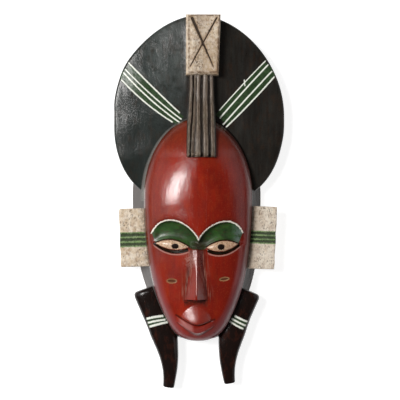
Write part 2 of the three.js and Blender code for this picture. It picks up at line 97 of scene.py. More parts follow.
def hand_cut(x, y, length, seed, count=6):
    """Unevenness left by hand tools, from -1 to 0: the mean of a few sine waves, in directions and with
    phases drawn from the seed, whose wavelengths lie around length."""
    rng = np.random.default_rng(seed)
    turns, phases = rng.uniform(0, math.pi, count), rng.uniform(0, 2 * math.pi, count)
    lengths = length * rng.uniform(0.6, 1.5, count)
    along = np.multiply.outer(np.cos(turns), x) + np.multiply.outer(np.sin(turns), y)
    spread = (count,) + (1,) * np.ndim(x)
    waves = np.sin(2 * math.pi * along / lengths.reshape(spread) + phases.reshape(spread))
    return (waves.mean(0) - 1) / 2


print("shape tools ready")

# %% [markdown]
# ## From a grid of points to a closed mesh
# A surface is a grid: rows of points, each row closed on itself like a ring. The skin joins neighbours with
# quads, and an open end gets a cap. Where a row has shrunk to a point or a line, its points are merged, so
# poles and seams are closed. The region number of each quad says which paint it gets.

# %% Skin over rings of points
RED, BLACK, PALE, BROWN, RAW, WALL = range(6)
SEAM = 4e-6  # metres: points of a skin that lie closer than this are one
forms = []


def close_up(mesh, near, short, outwards=False):
    """Merges points closer than near, removes edges shorter than short, and turns the faces outwards if
    asked. Returns how many edges are still open."""
    work = bmesh.new()
    work.from_mesh(mesh)
    bmesh.ops.remove_doubles(work, verts=work.verts, dist=near)
    bmesh.ops.dissolve_degenerate(work, edges=work.edges, dist=short)
    if outwards:
        bmesh.ops.recalc_face_normals(work, faces=work.faces)
    open_edges = sum(not edge.is_manifold for edge in work.edges)
    work.to_mesh(mesh)
    work.free()
    return open_edges


def put_in_scene(name, data):
    """A new object with this mesh, lamp or camera, in the scene."""
    made = bpy.data.objects.new(name, data)
    bpy.context.scene.collection.objects.link(made)
    return made


def skin(name, rings, region, capped=False):
    """A closed mesh over rings of points (row, place in the row, xyz), in mm. region is one number, or one
    for each place in a row. Normals point outwards."""
    rows, around = rings.shape[:2]
    index = np.arange(rows * around).reshape(rows, around)
    after = np.roll(index, -1, axis=1)
    quads = np.stack([index[:-1], after[:-1], after[1:], index[1:]], -1).reshape(-1, 4).tolist()
    paint = np.broadcast_to(region, (rows - 1, around)).ravel().tolist()
    if capped:
        quads += [index[0, ::-1].tolist(), index[-1].tolist()]
        paint += [paint[0], paint[-1]]
    mesh = bpy.data.meshes.new(name)
    mesh.from_pydata((rings.reshape(-1, 3) * MM).tolist(), [], quads)
    mesh.polygons.foreach_set("material_index", paint)
    open_edges = close_up(mesh, SEAM, SEAM, outwards=True)
    print(f"{name}: {len(mesh.polygons)} faces, {open_edges} open edges")
    return put_in_scene(name, mesh)


# %% [markdown]
# ## Lines of the face
# The carving follows a few lines: the two brows, the edges of the eyes, the slit under each eye, and the V
# of the mouth. A carver scores them first and cuts up to them. Here they are functions of x, and the rows
# of the face grid later run along them, so that their edges stay crisp.

# %% Measures of the face
EDGE_Z = 42  # the red face rises from this height, and the side wall falls behind it
FACE = {"x": -1.4, "y": 7.3, "half": 76, "up": 109.2, "down": 204, "height": 38}
RIM = {"x": -3.5, "y": 7.3, "half": 92, "up": 128, "down": 204.6}
CHEEK = {"z": 69.5, "bow": 0.0012, "tilt": 0.045, "tilt_y": -95, "blend": 4}
BROW_LEFT = [[-0.7, -54.5], [-11, -30], [-49.2, -10.8], [-66.2, -44.4]]
BROW_RIGHT = [[-0.7, -54.5], [8, -33.2], [46.8, -13.4], [60.8, -43.9]]
BROW_EDGE = 3.5
BROWS = np.concatenate([bezier(BROW_LEFT, np.linspace(1, 0, 49)),
                        bezier(BROW_RIGHT, np.linspace(0, 1, 49))[1:]])
EYES = ({"inner": (-13.2, -63.7), "outer": (-61.2, -58), "rise": 7.6, "sag": 6.5},
        {"inner": (9, -64.4), "outer": (54.9, -59.3), "rise": 7.4, "sag": 8})
SLITS = ({"inner": (-14.6, -69.4), "outer": (-64, -59.4), "sag": 7.8},
         {"inner": (11.2, -70.7), "outer": (57, -62.1), "sag": 7.8})
LID_DEPTH, BALL_RISE = 3.8, 6
NOSE = {"x": -3.4, "root_y": -60, "tip_y": -136.2, "root_half": 7.8, "tip_half": (17.4, 15.2),
        "root_rise": 5, "tip_rise": 21, "facet_below": 1.1, "facet_lean": 0.27}
NOSE_UNDERCUT = 1.6
UPPER_LIP = {"x": -4.6, "y": -171.5, "half": (22.6, 28), "rise": 6.5, "edge": 1.2,
             "facet": (-16.9, -160.5, 3.3), "facet_slope": (0.21, -0.27)}
LOWER_LIP = {"x": -5, "half": 26.5, "rise": 0.8, "shelf": 0.5}
MOUTH_WIDTH, MOUTH_DEPTH, MOUTH_CORNER = 2.6, 1.6, 28
print("face, mm:", 2 * FACE["half"], "wide and", FACE["up"] + FACE["down"], "long")


# %% Lines as functions of x
def brow_line(x):
    """Height of the brow: the curve of the left or the right brow, looked up by x."""
    return np.interp(x, BROWS[:, 0], BROWS[:, 1])


def bent_line(eye, bow, x):
    """A straight line between two corners, bent by bow times 4u(1 - u)."""
    (x0, y0), (x1, y1) = eye["inner"], eye["outer"]
    u = np.clip((x - x0) / (x1 - x0), 0, 1)
    return mix(y0, y1, u) + bow * 4 * u * (1 - u)


def by_side(x, left, right):
    """The left value on the left of the point between the brows, and the right value on the right."""
    return np.where(x < BROW_LEFT[0][0], left, right)


def eye_top(x):
    """Upper edge of the eye: the bent line that rises."""
    return by_side(x, *[bent_line(eye, eye["rise"], x) for eye in EYES])


def eye_bottom(x):
    """Lower edge of the eye: the bent line that sags."""
    return by_side(x, *[bent_line(eye, -eye["sag"], x) for eye in EYES])


def slit_bottom(x):
    """Lower edge of the slit under the eye."""
    return by_side(x, *[bent_line(slit, -slit["sag"], x) for slit in SLITS])


def slit_middle(x):
    """Half way between the eye's lower edge and the slit's."""
    return (eye_bottom(x) + slit_bottom(x)) / 2


def vee(x, at, y, slope, round_off):
    """A V that opens upwards, with its point rounded: a hyperbola's arms."""
    return y + slope * (np.hypot(x - at, round_off) - round_off)


def mouth_line(x):
    """Upper edge of the lower lip. It climbs more steeply on the left."""
    return vee(x, -2.9, -172.6, 0.55, 8) - 0.07 * (x + 2.9)


def lip_line(x):
    """Lower edge of the lower lip."""
    return vee(x, -2.4, -186.8, 0.75, 7) - 0.04 * (x + 2.4)


probe_x = np.linspace(-60, 60, 5)
print("brow heights, mm:", brow_line(probe_x).round(1), "eye tops, mm:", eye_top(probe_x).round(1))


# %% [markdown]
# ## Height of the face
# The face is an egg, cut back flatter below the brows, with lids, eyeballs, a roof-shaped nose and a mouth
# on it. On the real mask these are all cut from the same surface, so they are added up here into one
# height.

# %% Egg, lids and eyes
def face_share(y):
    """0 at the widest line, 1 at the crown and -1 at the chin."""
    return np.where(y > FACE["y"], (y - FACE["y"]) / FACE["up"], (y - FACE["y"]) / FACE["down"])


def face_half(t):
    """Half width of the face: a circle's outline above, and a fuller one below, fullest at the chin."""
    return FACE["half"] * np.where(t > 0, rounded(t, 2), rounded(t, mix(2.2, 2.4, smooth(-0.8, -1, t))))


def smooth_min(a, b, blend):
    """The smaller of two heights, with the corner between them rounded by a parabola."""
    h = np.clip(0.5 + (b - a) / (2 * blend), 0, 1)
    return mix(b, a, h) - blend * h * (1 - h)


def eye_rise(x, y):
    """Eyeball less lid: the ball is a dome between the eye's edges, the lid a hollow up to the brow,
    deepest low down: the sine of pi times the share to the 0.65."""
    top, brow, middle = eye_top(x), brow_line(x), slit_middle(x)
    share = np.clip((y - top) / (brow - top), 0, 1)
    edge = mix(3.2, 0.4, smooth(0, 1.6, y - top))
    lid = (edge + LID_DEPTH * np.sin(math.pi * share**0.65)) * smooth(1, 0.8, share)
    fade = 1 - smooth(54, 68, np.abs(x))
    along = [(x - eye["inner"][0]) / (eye["outer"][0] - eye["inner"][0]) for eye in EYES]
    u = np.clip(by_side(x, *along), 0, 1)
    v = np.clip((2 * y - top - middle) / (top - middle), -1, 1)
    ball = BALL_RISE * np.sqrt(1 - v * v) * np.sqrt(4 * u * (1 - u))
    return ball - lid * fade * smooth(middle - 1, middle + 1, y)


print("half widths at the brows and the chin, mm:", face_half(face_share(np.array([-30, -170]))).round(1))


# %% Nose and mouth
def nose_share(y):
    """0 above the root of the nose, 1 below its tip."""
    return np.clip((NOSE["root_y"] - y) / (NOSE["root_y"] - NOSE["tip_y"]), 0, 1)


def nose_half(y, on_right):
    """Half width of the nose: even below the root, then growing to the tip, less on the right."""
    left, right = NOSE["tip_half"]
    return mix(NOSE["root_half"], np.where(on_right, right, left), smooth(0.15, 1.1, nose_share(y)))


def nose_rise(x, y):
    """A roof, full on its left side at the root, with one narrow facet planed along the ridge, which leans
    to the left. It runs out softly into the cheek at the root, into a crease below, and ends square at the
    tip."""
    half = nose_half(y, x > NOSE["x"])
    share, off = nose_share(y), (x - NOSE["x"]) / half
    rise = mix(NOSE["root_rise"], NOSE["tip_rise"], share**0.85)
    fullness = np.where(off < 0, mix(4, 1, smooth(0.08, 0.5, share)), 1)
    roof = rise * (1 - np.abs(off) ** fullness)
    facet = rise - NOSE["facet_below"] + NOSE["facet_lean"] * off * half
    above = smooth(NOSE["root_y"] + 5, NOSE["root_y"] - 7, y)
    below = smooth(NOSE["tip_y"] - NOSE_UNDERCUT, NOSE["tip_y"], y)
    tip = mix(0.88, 1, smooth(NOSE["tip_y"], NOSE["tip_y"] + 6, y))
    planed = smooth_min(roof, facet, 0.7)
    blend = mix(4, 0.5, smooth(0, 0.4, share))
    return -smooth_min(-planed, 0 * x, blend) * above * below * tip


def upper_lip_share(x, y):
    """1 in the middle of the upper lip and 0 past its oval edge: 1 less the squares of the two shares."""
    dx, dy = (x - UPPER_LIP["x"]) / UPPER_LIP["half"][0], (y - UPPER_LIP["y"]) / UPPER_LIP["half"][1]
    return np.maximum(0, 1 - dx * dx - dy * dy)


def mouth_rise(x, y):
    """A domed upper lip, planed flat on its upper left, that stops at the mouth line; a lower lip like a
    beak under it, highest in the middle; and a groove between them that runs on as a crease."""
    inside, split, low = upper_lip_share(x, y), mouth_line(x), lip_line(x)
    edge = UPPER_LIP["edge"] * smooth(0, 0.3, inside) * smooth(-152, -170, y)
    (at_x, at_y, height), (slope_x, slope_y) = UPPER_LIP["facet"], UPPER_LIP["facet_slope"]
    facet = height + slope_x * (x - at_x) + slope_y * (y - at_y)
    upper = smooth_min(UPPER_LIP["rise"] * inside**1.25 + edge, facet, 2.4)
    upper = np.maximum(upper, 0) * smooth(split - MOUTH_WIDTH / 2, split + MOUTH_WIDTH / 2, y)
    off = np.abs(x - LOWER_LIP["x"])
    corners = 1 - smooth(MOUTH_CORNER * 0.7, MOUTH_CORNER, off)
    share = np.clip((y - low) / np.maximum(1, split - MOUTH_WIDTH / 2 - low), 0, 1)
    beak = np.maximum(0, 1 - (np.hypot(off, 4) - 4) / (LOWER_LIP["half"] - 4)) ** 0.8
    shelf = LOWER_LIP["rise"] + LOWER_LIP["shelf"] * np.clip(split - y, 0, 14)
    lower = shelf * beak * smooth(0, 0.28, share) * (1 - 0.35 * smooth(0.7, 1, share))
    groove = MOUTH_DEPTH * (1 - smooth(0, 2.8, np.abs(y - split))) * corners
    return upper + lower * smooth(split + MOUTH_WIDTH / 2, split - MOUTH_WIDTH / 2, y) - groove


print("rise of the upper lip, mm:", mouth_rise(UPPER_LIP["x"], UPPER_LIP["y"] + 8).round(1))


# %% The whole height
def face_z(x, y):
    """Egg above the brows, narrower towards the crown; the lower of egg and cheek below them; a shallow
    hollow along the brows; and the features on it, faded at the outline."""
    t = face_share(y)
    across = np.clip(np.abs(x - FACE["x"]) / np.maximum(face_half(t), 1e-6), 0, 1)
    profile = FACE["height"] * np.where(t > 0, rounded(t, 2), rounded(t, 2.6))
    egg = EDGE_Z + profile * rounded(across, np.clip(2.15 - 0.009 * y, 1.6, 2.2))
    cheek = CHEEK["z"] - CHEEK["bow"] * (x - FACE["x"]) ** 2 + CHEEK["tilt"] * (y - CHEEK["tilt_y"])
    past_brow = np.maximum(0, np.maximum(BROW_LEFT[3][0] - x, x - BROW_RIGHT[3][0]))
    step = BROW_EDGE + 3 * past_brow
    below_brow = smooth(0, 1, (brow_line(x) - y + past_brow) / step)
    base = mix(egg, smooth_min(egg, cheek, CHEEK["blend"]), below_brow)
    carved = (eye_rise(x, y) + nose_rise(x, y) + mouth_rise(x, y)) * smooth(1, 0.88, across)
    hollow = 1.3 * np.exp(-np.abs(y - brow_line(x)) / 7) * smooth(1, 0.8, across)
    return base - hollow + carved + 0.45 * hand_cut(x, y, 23, 4) * smooth(1, 0.9, across)


print("forehead and nose tip, mm:", face_z(np.array([0.0, -3.4]), np.array([20.0, -130.0])).round(1))

# %% [markdown]
# ## Face and side wall
# The grid's rows run along the carved lines, and its columns gather at the nose, so these edges never fall
# between two points. Each ring goes over the front, down the right wall to the rim, and back up the left
# wall. Rows stand closer at the crown and the chin, where the egg turns down.

# %% Rows that follow the carving
NOSE_FOOT = NOSE["tip_y"] - NOSE_UNDERCUT
CROWN, CHIN = FACE["y"] + FACE["up"], FACE["y"] - FACE["down"]
FOREHEAD = 40.0


def level_line(height):
    """A line across the face that stays at one height."""
    return lambda x: np.full_like(x, height)


FACE_BANDS = [  # nominal height where the band ends, its line, how many rows, and how they gather
    (-185.5, lip_line, 9, 2.2),
    (-170.2, lambda x: mouth_line(x) - MOUTH_WIDTH / 2, 12, 1),
    (-167.8, lambda x: mouth_line(x) + MOUTH_WIDTH / 2, 3, 1),
    (NOSE_FOOT, level_line(NOSE_FOOT), 24, 1),
    (NOSE["tip_y"], level_line(NOSE["tip_y"]), 3, 1),
    (-71, slit_middle, 46, 1),
    (-56, eye_top, 13, 1),
    (-34, lambda x: brow_line(x) - BROW_EDGE, 18, 1),
    (-30.5, brow_line, 4, 1),
    (FOREHEAD, level_line(FOREHEAD), 46, 1),
    (CROWN, level_line(CROWN), 52, 0.55),
]
SIDE_COLUMNS, NOSE_COLUMNS, WALL_STEPS = 50, 17, 12


def face_columns(y):
    """x of each column in the rows at y: close at the ridge of the nose, out to its foot, and on to the
    outline, closer near it."""
    step = np.arange(-SIDE_COLUMNS - NOSE_COLUMNS, SIDE_COLUMNS + NOSE_COLUMNS + 1)
    side, count = np.sign(step), np.abs(step)
    half = face_half(face_share(y))[:, None]
    ridge = mix(FACE["x"], NOSE["x"], np.minimum(1, half / 40))
    foot = np.minimum(nose_half(y[:, None], side > 0), half * 0.3)
    u = np.clip((count - NOSE_COLUMNS) / SIDE_COLUMNS, 0, 1)
    outer = mix(ridge + side * foot, FACE["x"] + side * half, mix(u, np.sin(u * math.pi / 2), 0.4))
    inner = ridge + side * foot * (count / NOSE_COLUMNS) ** 1.4
    return np.where(count <= NOSE_COLUMNS, inner, outer)


def face_rows():
    """Points over the front, row by row from chin to crown: y is blended between the lines on either side
    of it, and back to level rows near the outline."""
    nominal_before, line_before = CHIN, level_line(CHIN)
    bands = []
    for nominal, line, count, gather in FACE_BANDS:
        u = (np.arange(1, count + 1) / count)[:, None]
        u = 1 - (1 - u) ** (1 / gather) if gather < 1 else u**gather
        level = mix(nominal_before, nominal, u)
        x = face_columns(level[:, 0])
        across = np.abs(x - FACE["x"]) / np.maximum(face_half(face_share(level)), 1e-9)
        y = mix(mix(line_before(x), line(x), u), level, smooth(0.8, 1, across))
        bands.append(np.stack([x, y, np.broadcast_to(level, x.shape)], -1))
        nominal_before, line_before = nominal, line
    chin = np.zeros((1,) + bands[0].shape[1:]) + [FACE["x"], CHIN, CHIN]
    return np.concatenate([chin] + bands)


# %% The solid body
rows = face_rows()
x, y, level = rows[..., 0], rows[..., 1], rows[:, 0, 2]
z = face_z(x, y)
z[:, [0, -1]] = EDGE_Z
z[[0, -1]] = EDGE_Z
t = face_share(level)
half = face_half(t)
rim_y = RIM["y"] + t * np.where(t > 0, RIM["up"], RIM["down"])


def wall_points(side):
    """The side wall: straight from the face's edge down to the rim, bowed in a little by the knife. The rim
    is fuller at the lower right."""
    u = np.arange(1, WALL_STEPS + 1) / WALL_STEPS
    fullness = np.where((t < 0) & (side > 0), 2.4, 2.1) + 0.9 * smooth(-0.88, -1, t)
    rim_half = RIM["half"] * rounded(t, fullness)
    wx = mix((FACE["x"] + side * half)[:, None], (RIM["x"] + side * rim_half)[:, None], u)
    wy = mix(level[:, None], rim_y[:, None], u)
    wz = mix(EDGE_Z, 0, u) + 0 * wx
    inward = 0.5 * hand_cut(wy, wz * 2, 26, 7) * np.sin(math.pi * u) * rounded(t, 4)[:, None]
    return np.stack([wx + side * inward, wy, wz], -1)


front = np.stack([x, y, z], -1)
face_rings = np.concatenate([front, wall_points(1), wall_points(-1)[:, ::-1]], axis=1)
face_paint = np.full(face_rings.shape[1], WALL)
face_paint[: front.shape[1] - 1] = RED
face_paint[front.shape[1] - 1 + WALL_STEPS] = RAW
carved_mask = skin("carved_mask", face_rings, face_paint)

# %% [markdown]
# ## Crest board
# Behind the forehead stands a flat oval board, narrower at the top, crowned in front and with softened
# edges. It is an egg outline drawn in rings from the middle to the edge, over the edge, and back to the
# middle behind.

# %% Crest
TRESS = {"x": 3.2, "half": 20.6, "top": 188, "bottom": 60.6, "rise": 13.5, "lip_rise": 7, "flute": 3.6}
CREST = {"x": -0.7, "y": 125.5, "half": 120.8, "up": 137, "down": 132.4, "front": 38.5, "crown": 3,
         "back": 18, "bow": 2.2, "swell": 5.5, "by_tress": 0.5}
CREST_ROUND = 3.5
CREST_EDGE = ((2.6, 0.2, 1.9), (3.15, 0.12, -1.4), (6.15, 0.13, 0.9))  # cut freehand: angle, width, bulge


def crest_rings(around=260, over_front=40, over_edge=5, behind=8):
    """Rings of an egg outline, a superellipse whose exponent differs above and below: over the front the
    height falls with the fourth power of the share of the way out, and quarter circles turn the two
    edges."""
    turn, c, s = full_turn(around)
    power = 2 / np.where(s > 0, 1.83, 2.54)
    rim, back, r = CREST["front"] - CREST["crown"], CREST["back"], CREST_ROUND
    out, angle = np.linspace(0, 1, over_front), np.linspace(0, math.pi / 2, over_edge + 1)[1:]
    side = np.linspace(rim - r, back + r, over_edge + 1)[1:-1]
    share = np.concatenate([out, np.ones(2 * angle.size + side.size), np.linspace(1, 0, behind)])[:, None]
    outer, inner = r * (1 - np.sin(angle)), r * (1 - np.cos(angle))
    inset = np.concatenate([np.full(over_front, r), outer, 0 * side, inner, np.full(behind, r)])[:, None]
    front = CREST["front"] - CREST["crown"] * out**4
    height = np.concatenate([front, rim - inner, side, back + outer, np.full(behind, float(back))])[:, None]
    inset = inset - sum(bulge * np.exp(-2 * (1 - np.cos(turn - at)) / width**2)
                        for at, width, bulge in CREST_EDGE)
    across = (CREST["half"] - inset) * squared_off(c, power)
    along = (np.where(s > 0, CREST["up"], CREST["down"]) - inset) * squared_off(s, power)
    px, py = CREST["x"] + share * across, CREST["y"] + share * along
    dished = 1.3 * hand_cut(px, py * 0.6, 38, 11) + 0.2 * hand_cut(px, py * 0.7, 15, 12)
    bowed = CREST["bow"] * ((py - 150) / 100) ** 2
    beside_tress = np.maximum(0, np.abs(px - TRESS["x"]) - TRESS["half"])
    swell = CREST["by_tress"] * np.exp(-beside_tress / 6) * smooth(125, 185, py)
    upwards = 0.42 * smooth(120, 200, py) + 0.58 * smooth(195, 262, py)
    high_swell = CREST["swell"] * np.exp(-beside_tress / 45) * upwards
    on_front = smooth(back + 3, rim - 4, height)
    return np.stack([px, py, height + on_front * (dished + swell + high_swell - bowed)], -1)


forms.append(skin("crest_board", crest_rings(), BLACK))

# %% [markdown]
# ## A slab with a carved front
# The block, the tress and the ears are slabs: a front that is a height over (x, y), two straight sides and
# a flat back. One function makes all of them, as rings across the slab, one for each y.


# %% Slab
def slab_rings(left, right, ys, front, back, across, slant=None, side_steps=5):
    """One ring for each y: across the front from left to right at the height front(x, y), down the right
    side to the back, and up the left side. left and right are arrays over ys; slant is a function of x
    that moves y."""
    u = np.linspace(0, 1, across)
    fx = mix(left[:, None], right[:, None], u)
    fy = np.broadcast_to(ys[:, None], fx.shape)
    fz = front(fx, fy)
    v = np.linspace(0, 1, side_steps + 1)[1:]
    sides = []
    for x_side, z_side in ((right, fz[:, -1]), (left, fz[:, 0])):
        sz = mix(z_side[:, None], float(back), v)
        sides.append(np.stack([x_side[:, None] + 0 * sz, ys[:, None] + 0 * sz, sz], -1))
    rings = np.concatenate([np.stack([fx, fy, fz], -1), sides[0], sides[1][:, ::-1]], axis=1)
    if slant:
        rings[..., 1] += slant(rings[..., 0])
    return rings


def segment_distance(x, y, start, end):
    """Distance from points to a straight segment, and the share along it, from 0 to 1, of its nearest
    point."""
    (x0, y0), (x1, y1) = start, end
    t = np.clip(((x - x0) * (x1 - x0) + (y - y0) * (y1 - y0)) / ((x1 - x0) ** 2 + (y1 - y0) ** 2), 0, 1)
    return np.hypot(x - mix(x0, x1, t), y - mix(y0, y1, t)), t


print("slab tools ready")

# %% [markdown]
# ## Block on the crest
# A box with softened edges and a cut cross on its front. The cuts are V-shaped knife cuts that run out thin
# at their lower ends.

# %% Block
BLOCK = {"left": -18.3, "right_top": 30.2, "right_bottom": 27.2, "top": 260.8, "bottom": 175.5,
         "back": 24, "front": 60}
BEVEL = {"left": 4.2, "right": 2, "top": 2.2, "bottom": 4, "depth": 6}
BLOCK_CUTS = [((-9.4, 254.6), (19.6, 188.2), 5, 2.2),  # start, end, width at each
              ((24.6, 254.9), (-12.1, 187.6), 2.9, 2.1)]


def cut_depth_mm(x, y):
    """Signed distance to the cuts: half their width, which shrinks along the cut, less the distance to its
    line."""
    found = []
    for start, end, wide, thin in BLOCK_CUTS:
        distance, t = segment_distance(x, y, start, end)
        found.append(mix(wide, thin, t) / 2 - distance)
    return np.maximum(*found)


def block_right(y):
    """Right edge of the block: it narrows a little downwards."""
    share = (y - BLOCK["bottom"]) / (BLOCK["top"] - BLOCK["bottom"])
    return mix(BLOCK["right_bottom"], BLOCK["right_top"], share)


def block_edges(x, y):
    """Distance to each edge of the block and the width of its bevel; the last is a corner cut off."""
    corner = (x - BLOCK["left"]) * 0.5 + (BLOCK["top"] - y) * 0.87
    return [(x - BLOCK["left"], BEVEL["left"]), (block_right(y) - x, BEVEL["right"]),
            (BLOCK["top"] - y, BEVEL["top"]), (y - BLOCK["bottom"], BEVEL["bottom"]), (corner, 6.0)]


def block_front(x, y):
    """Flat, less a rounded bevel along each edge, less the V of the cuts."""
    fall = np.max([1 - arc(distance / width) ** 1.3 for distance, width in block_edges(x, y)], axis=0)
    cut = np.clip(cut_depth_mm(x, y) * 1.6, 0, 2)
    return BLOCK["front"] - BEVEL["depth"] * fall - cut + 0.5 * hand_cut(x, y, 16, 21)


low_edge, high_edge = BLOCK["bottom"] + BEVEL["bottom"], BLOCK["top"] - BEVEL["top"]
block_y = np.concatenate([np.linspace(BLOCK["bottom"], low_edge, 8),
                          np.linspace(low_edge, high_edge, 98)[1:-1],
                          np.linspace(high_edge, BLOCK["top"], 6)])
block_sides = np.full_like(block_y, BLOCK["left"]), block_right(block_y)
block_rings = slab_rings(*block_sides, block_y, block_front, BLOCK["back"], 62, side_steps=8)
forms.append(skin("crest_block", block_rings, PALE, capped=True))

# %% [markdown]
# ## Tress
# A raised band with rounded flutes runs from the block down over the forehead and ends in a scalloped lip.
# Its front is the surface below it plus a rise, less a rounded dip at each groove.

# %% Tress
TRESS_GROOVES = (-20.6, -13.5, -8.2, 0.2, 12, 20.6)  # from edge to edge, with five uneven ridges between


def tress_half(y):
    """Half width of the tress: narrower under the block than on the forehead."""
    return TRESS["half"] - 2.6 * smooth(78, 165, y)


def flute(x, y):
    """0 on the middle of a ridge and 1 in a groove: a power of the place across the ridge. The grooves
    wander from side to side as they run down, the left ones lean outwards, and the second is shallow."""
    wander = 0.35 * np.sin(y / 19 + x / 5) + 0.25 * np.sin(y / 6 + x / 4)
    off = (x - TRESS["x"]) * TRESS["half"] / tress_half(y)
    inside = 1 - (off / TRESS["half"]) ** 4
    wander = wander - 1.7 * np.clip((y - 117) / 46, -1, 1) * smooth(-4, -11, off)
    number = np.interp(off + wander * np.maximum(0, inside), TRESS_GROOVES, range(6))
    shallow = 1 - 0.55 * np.exp(-(((number - 2) / 0.35) ** 2))
    return shallow * np.abs(2 * (number - np.floor(np.minimum(number, 4.999))) - 1) ** 2.1


def tress_front(x, y):
    """The bridged corner of forehead and crest, plus the rise, less the flutes and both sides' fall."""
    u = (x - TRESS["x"]) / tress_half(y)
    middle = np.full_like(x, TRESS["x"])
    on_face = np.where(face_share(y) < 1, face_z(middle, y), EDGE_Z)
    base = np.maximum(np.maximum(CREST["front"], on_face), EDGE_Z + 26 * (1 - smooth(75, 150, y)))
    rise = mix(TRESS["lip_rise"], TRESS["rise"], smooth(70, 140, y))
    ends = TRESS["bottom"] + 3.4 * flute(x, y)
    lip = 3 * (1 - arc((y - ends) / 2.6)) - 1.1 * np.exp(-(((y - ends - 2.6) / 1.8) ** 2))
    carved = TRESS["flute"] * flute(x, y)
    return base + rise - carved - 3 * np.abs(u) ** 6 - lip + 0.3 * hand_cut(x * 3, y, 30, 31)


LIP_ROWS = np.array([0, 0.5, 1.1, 1.8, 2.7, 3.8])  # closer together where the lip turns down
tress_y = np.concatenate([TRESS["bottom"] + LIP_ROWS, np.linspace(65.8, TRESS["top"], 78)])
tress_sides = [TRESS["x"] + side * tress_half(tress_y) for side in (-1, 1)]
tress_rings = slab_rings(*tress_sides, tress_y, tress_front, CREST["back"] + 4, 72)
forms.append(skin("tress", tress_rings, BROWN, capped=True))

# %% [markdown]
# ## Ears
# Each ear is a slab on the side wall, with a band of three grooves across its middle and corners worn
# round. The front leans back towards the outer edge.

# %% Ears
EARS = ({"top": -9.6, "bottom": -91.8, "outer_top": -113.6, "outer_bottom": -110.8, "inner": -62,
         "slant": -1.6, "band": (-63.4, -43.4)},
        {"top": -6.4, "bottom": -94.8, "outer_top": 111, "outer_bottom": 106.4, "inner": 60,
         "slant": -2, "band": (-58.6, -41.4)})
EAR_FRONT, EAR_BACK, EAR_DROOP, EAR_ROUND, EAR_GROOVE = 41, 24, 2.4, 1.8, 1.5


def band_phase(ear, y):
    """Position in the grooved band: 0 to 3 over its three grooves."""
    low, high = ear["band"]
    return (y - low) / (high - low) * 3


def ear_slant(ear, x):
    """How far the ear hangs down or up at x, growing evenly from its inner edge outwards."""
    return ear["slant"] * (x - ear["inner"]) / (ear["outer_top"] - ear["inner"])


def ear_form(name, ear, seed):
    """A slab whose front falls off to the outer edge, is rounded at its ends, and is grooved and beaded
    like three turns of rope."""
    steps = np.linspace(0, 1, 5)
    ys = np.concatenate([ear["bottom"] + EAR_ROUND * steps,
                         np.linspace(ear["bottom"] + 2.8, ear["top"] - 2.8, 76),
                         ear["top"] - EAR_ROUND * steps[::-1]])
    end = np.minimum(ys - ear["bottom"], ear["top"] - ys) / EAR_ROUND
    inset = EAR_ROUND * (1 - arc(end)) * 0.8
    outward = math.copysign(1, ear["outer_top"])
    share = (ys - ear["bottom"]) / (ear["top"] - ear["bottom"])
    worn = 1.1 * hand_cut(ys, 0 * ys, 24, seed)
    outer = mix(ear["outer_bottom"], ear["outer_top"], share) - outward * (inset - worn)
    inner = np.full_like(ys, float(ear["inner"]))

    def front(x, y):
        out = np.clip((x - ear["inner"]) / (outer[:, None] - ear["inner"]), 0, 1)
        phase = band_phase(ear, y)
        inside = smooth(-0.15, 0.05, phase) * smooth(3.15, 2.95, phase)
        beads = 0.35 * np.sin(x * 2.4 + phase * 5) * inside
        groove = EAR_GROOVE * (0.5 - 0.5 * np.cos(2 * math.pi * phase)) * inside + beads
        edge = np.abs(outer[:, None] - x)
        corner = EAR_ROUND * (1 - arc(edge / EAR_ROUND))
        ends = EAR_ROUND * (1 - arc(end))[:, None]
        droop = EAR_DROOP * np.clip((out - 0.5) / 0.5, 0, 1) ** 1.4
        return EAR_FRONT - groove - corner - ends - droop + 0.5 * hand_cut(x, y, 13, seed)

    left, right = (outer, inner) if outward < 0 else (inner, outer)
    rings = slab_rings(left, right, ys, front, EAR_BACK, 60, lambda x: ear_slant(ear, x), 6)
    return skin(name, rings, PALE, capped=True)


forms += [ear_form("left_ear", EARS[0], 41), ear_form("right_ear", EARS[1], 42)]

# %% [markdown]
# ## Horns
# Two horns come out behind the jaw, sweep inwards and run down side by side. A superelliptic section is
# carried along a cubic curve, tapers towards the tip, and is closed by rounded ends.

# %% Horns
HORN_LEFT = [[-77, -124.3], [-60.4, -170], [-33.5, -205], [-43.6, -264.5]]
HORN_RIGHT = [[71, -127.2], [53.4, -168], [33.8, -203], [43.6, -258.8]]
HORN = {"top_half": 17.9, "tip_half": 7.6, "middle_z": 24, "top_depth": 14, "tip_depth": 7, "full": 2.8,
        "waist": 0.5, "by_chin": 1.6, "top_round": 4.4, "tip_round": 1.8}


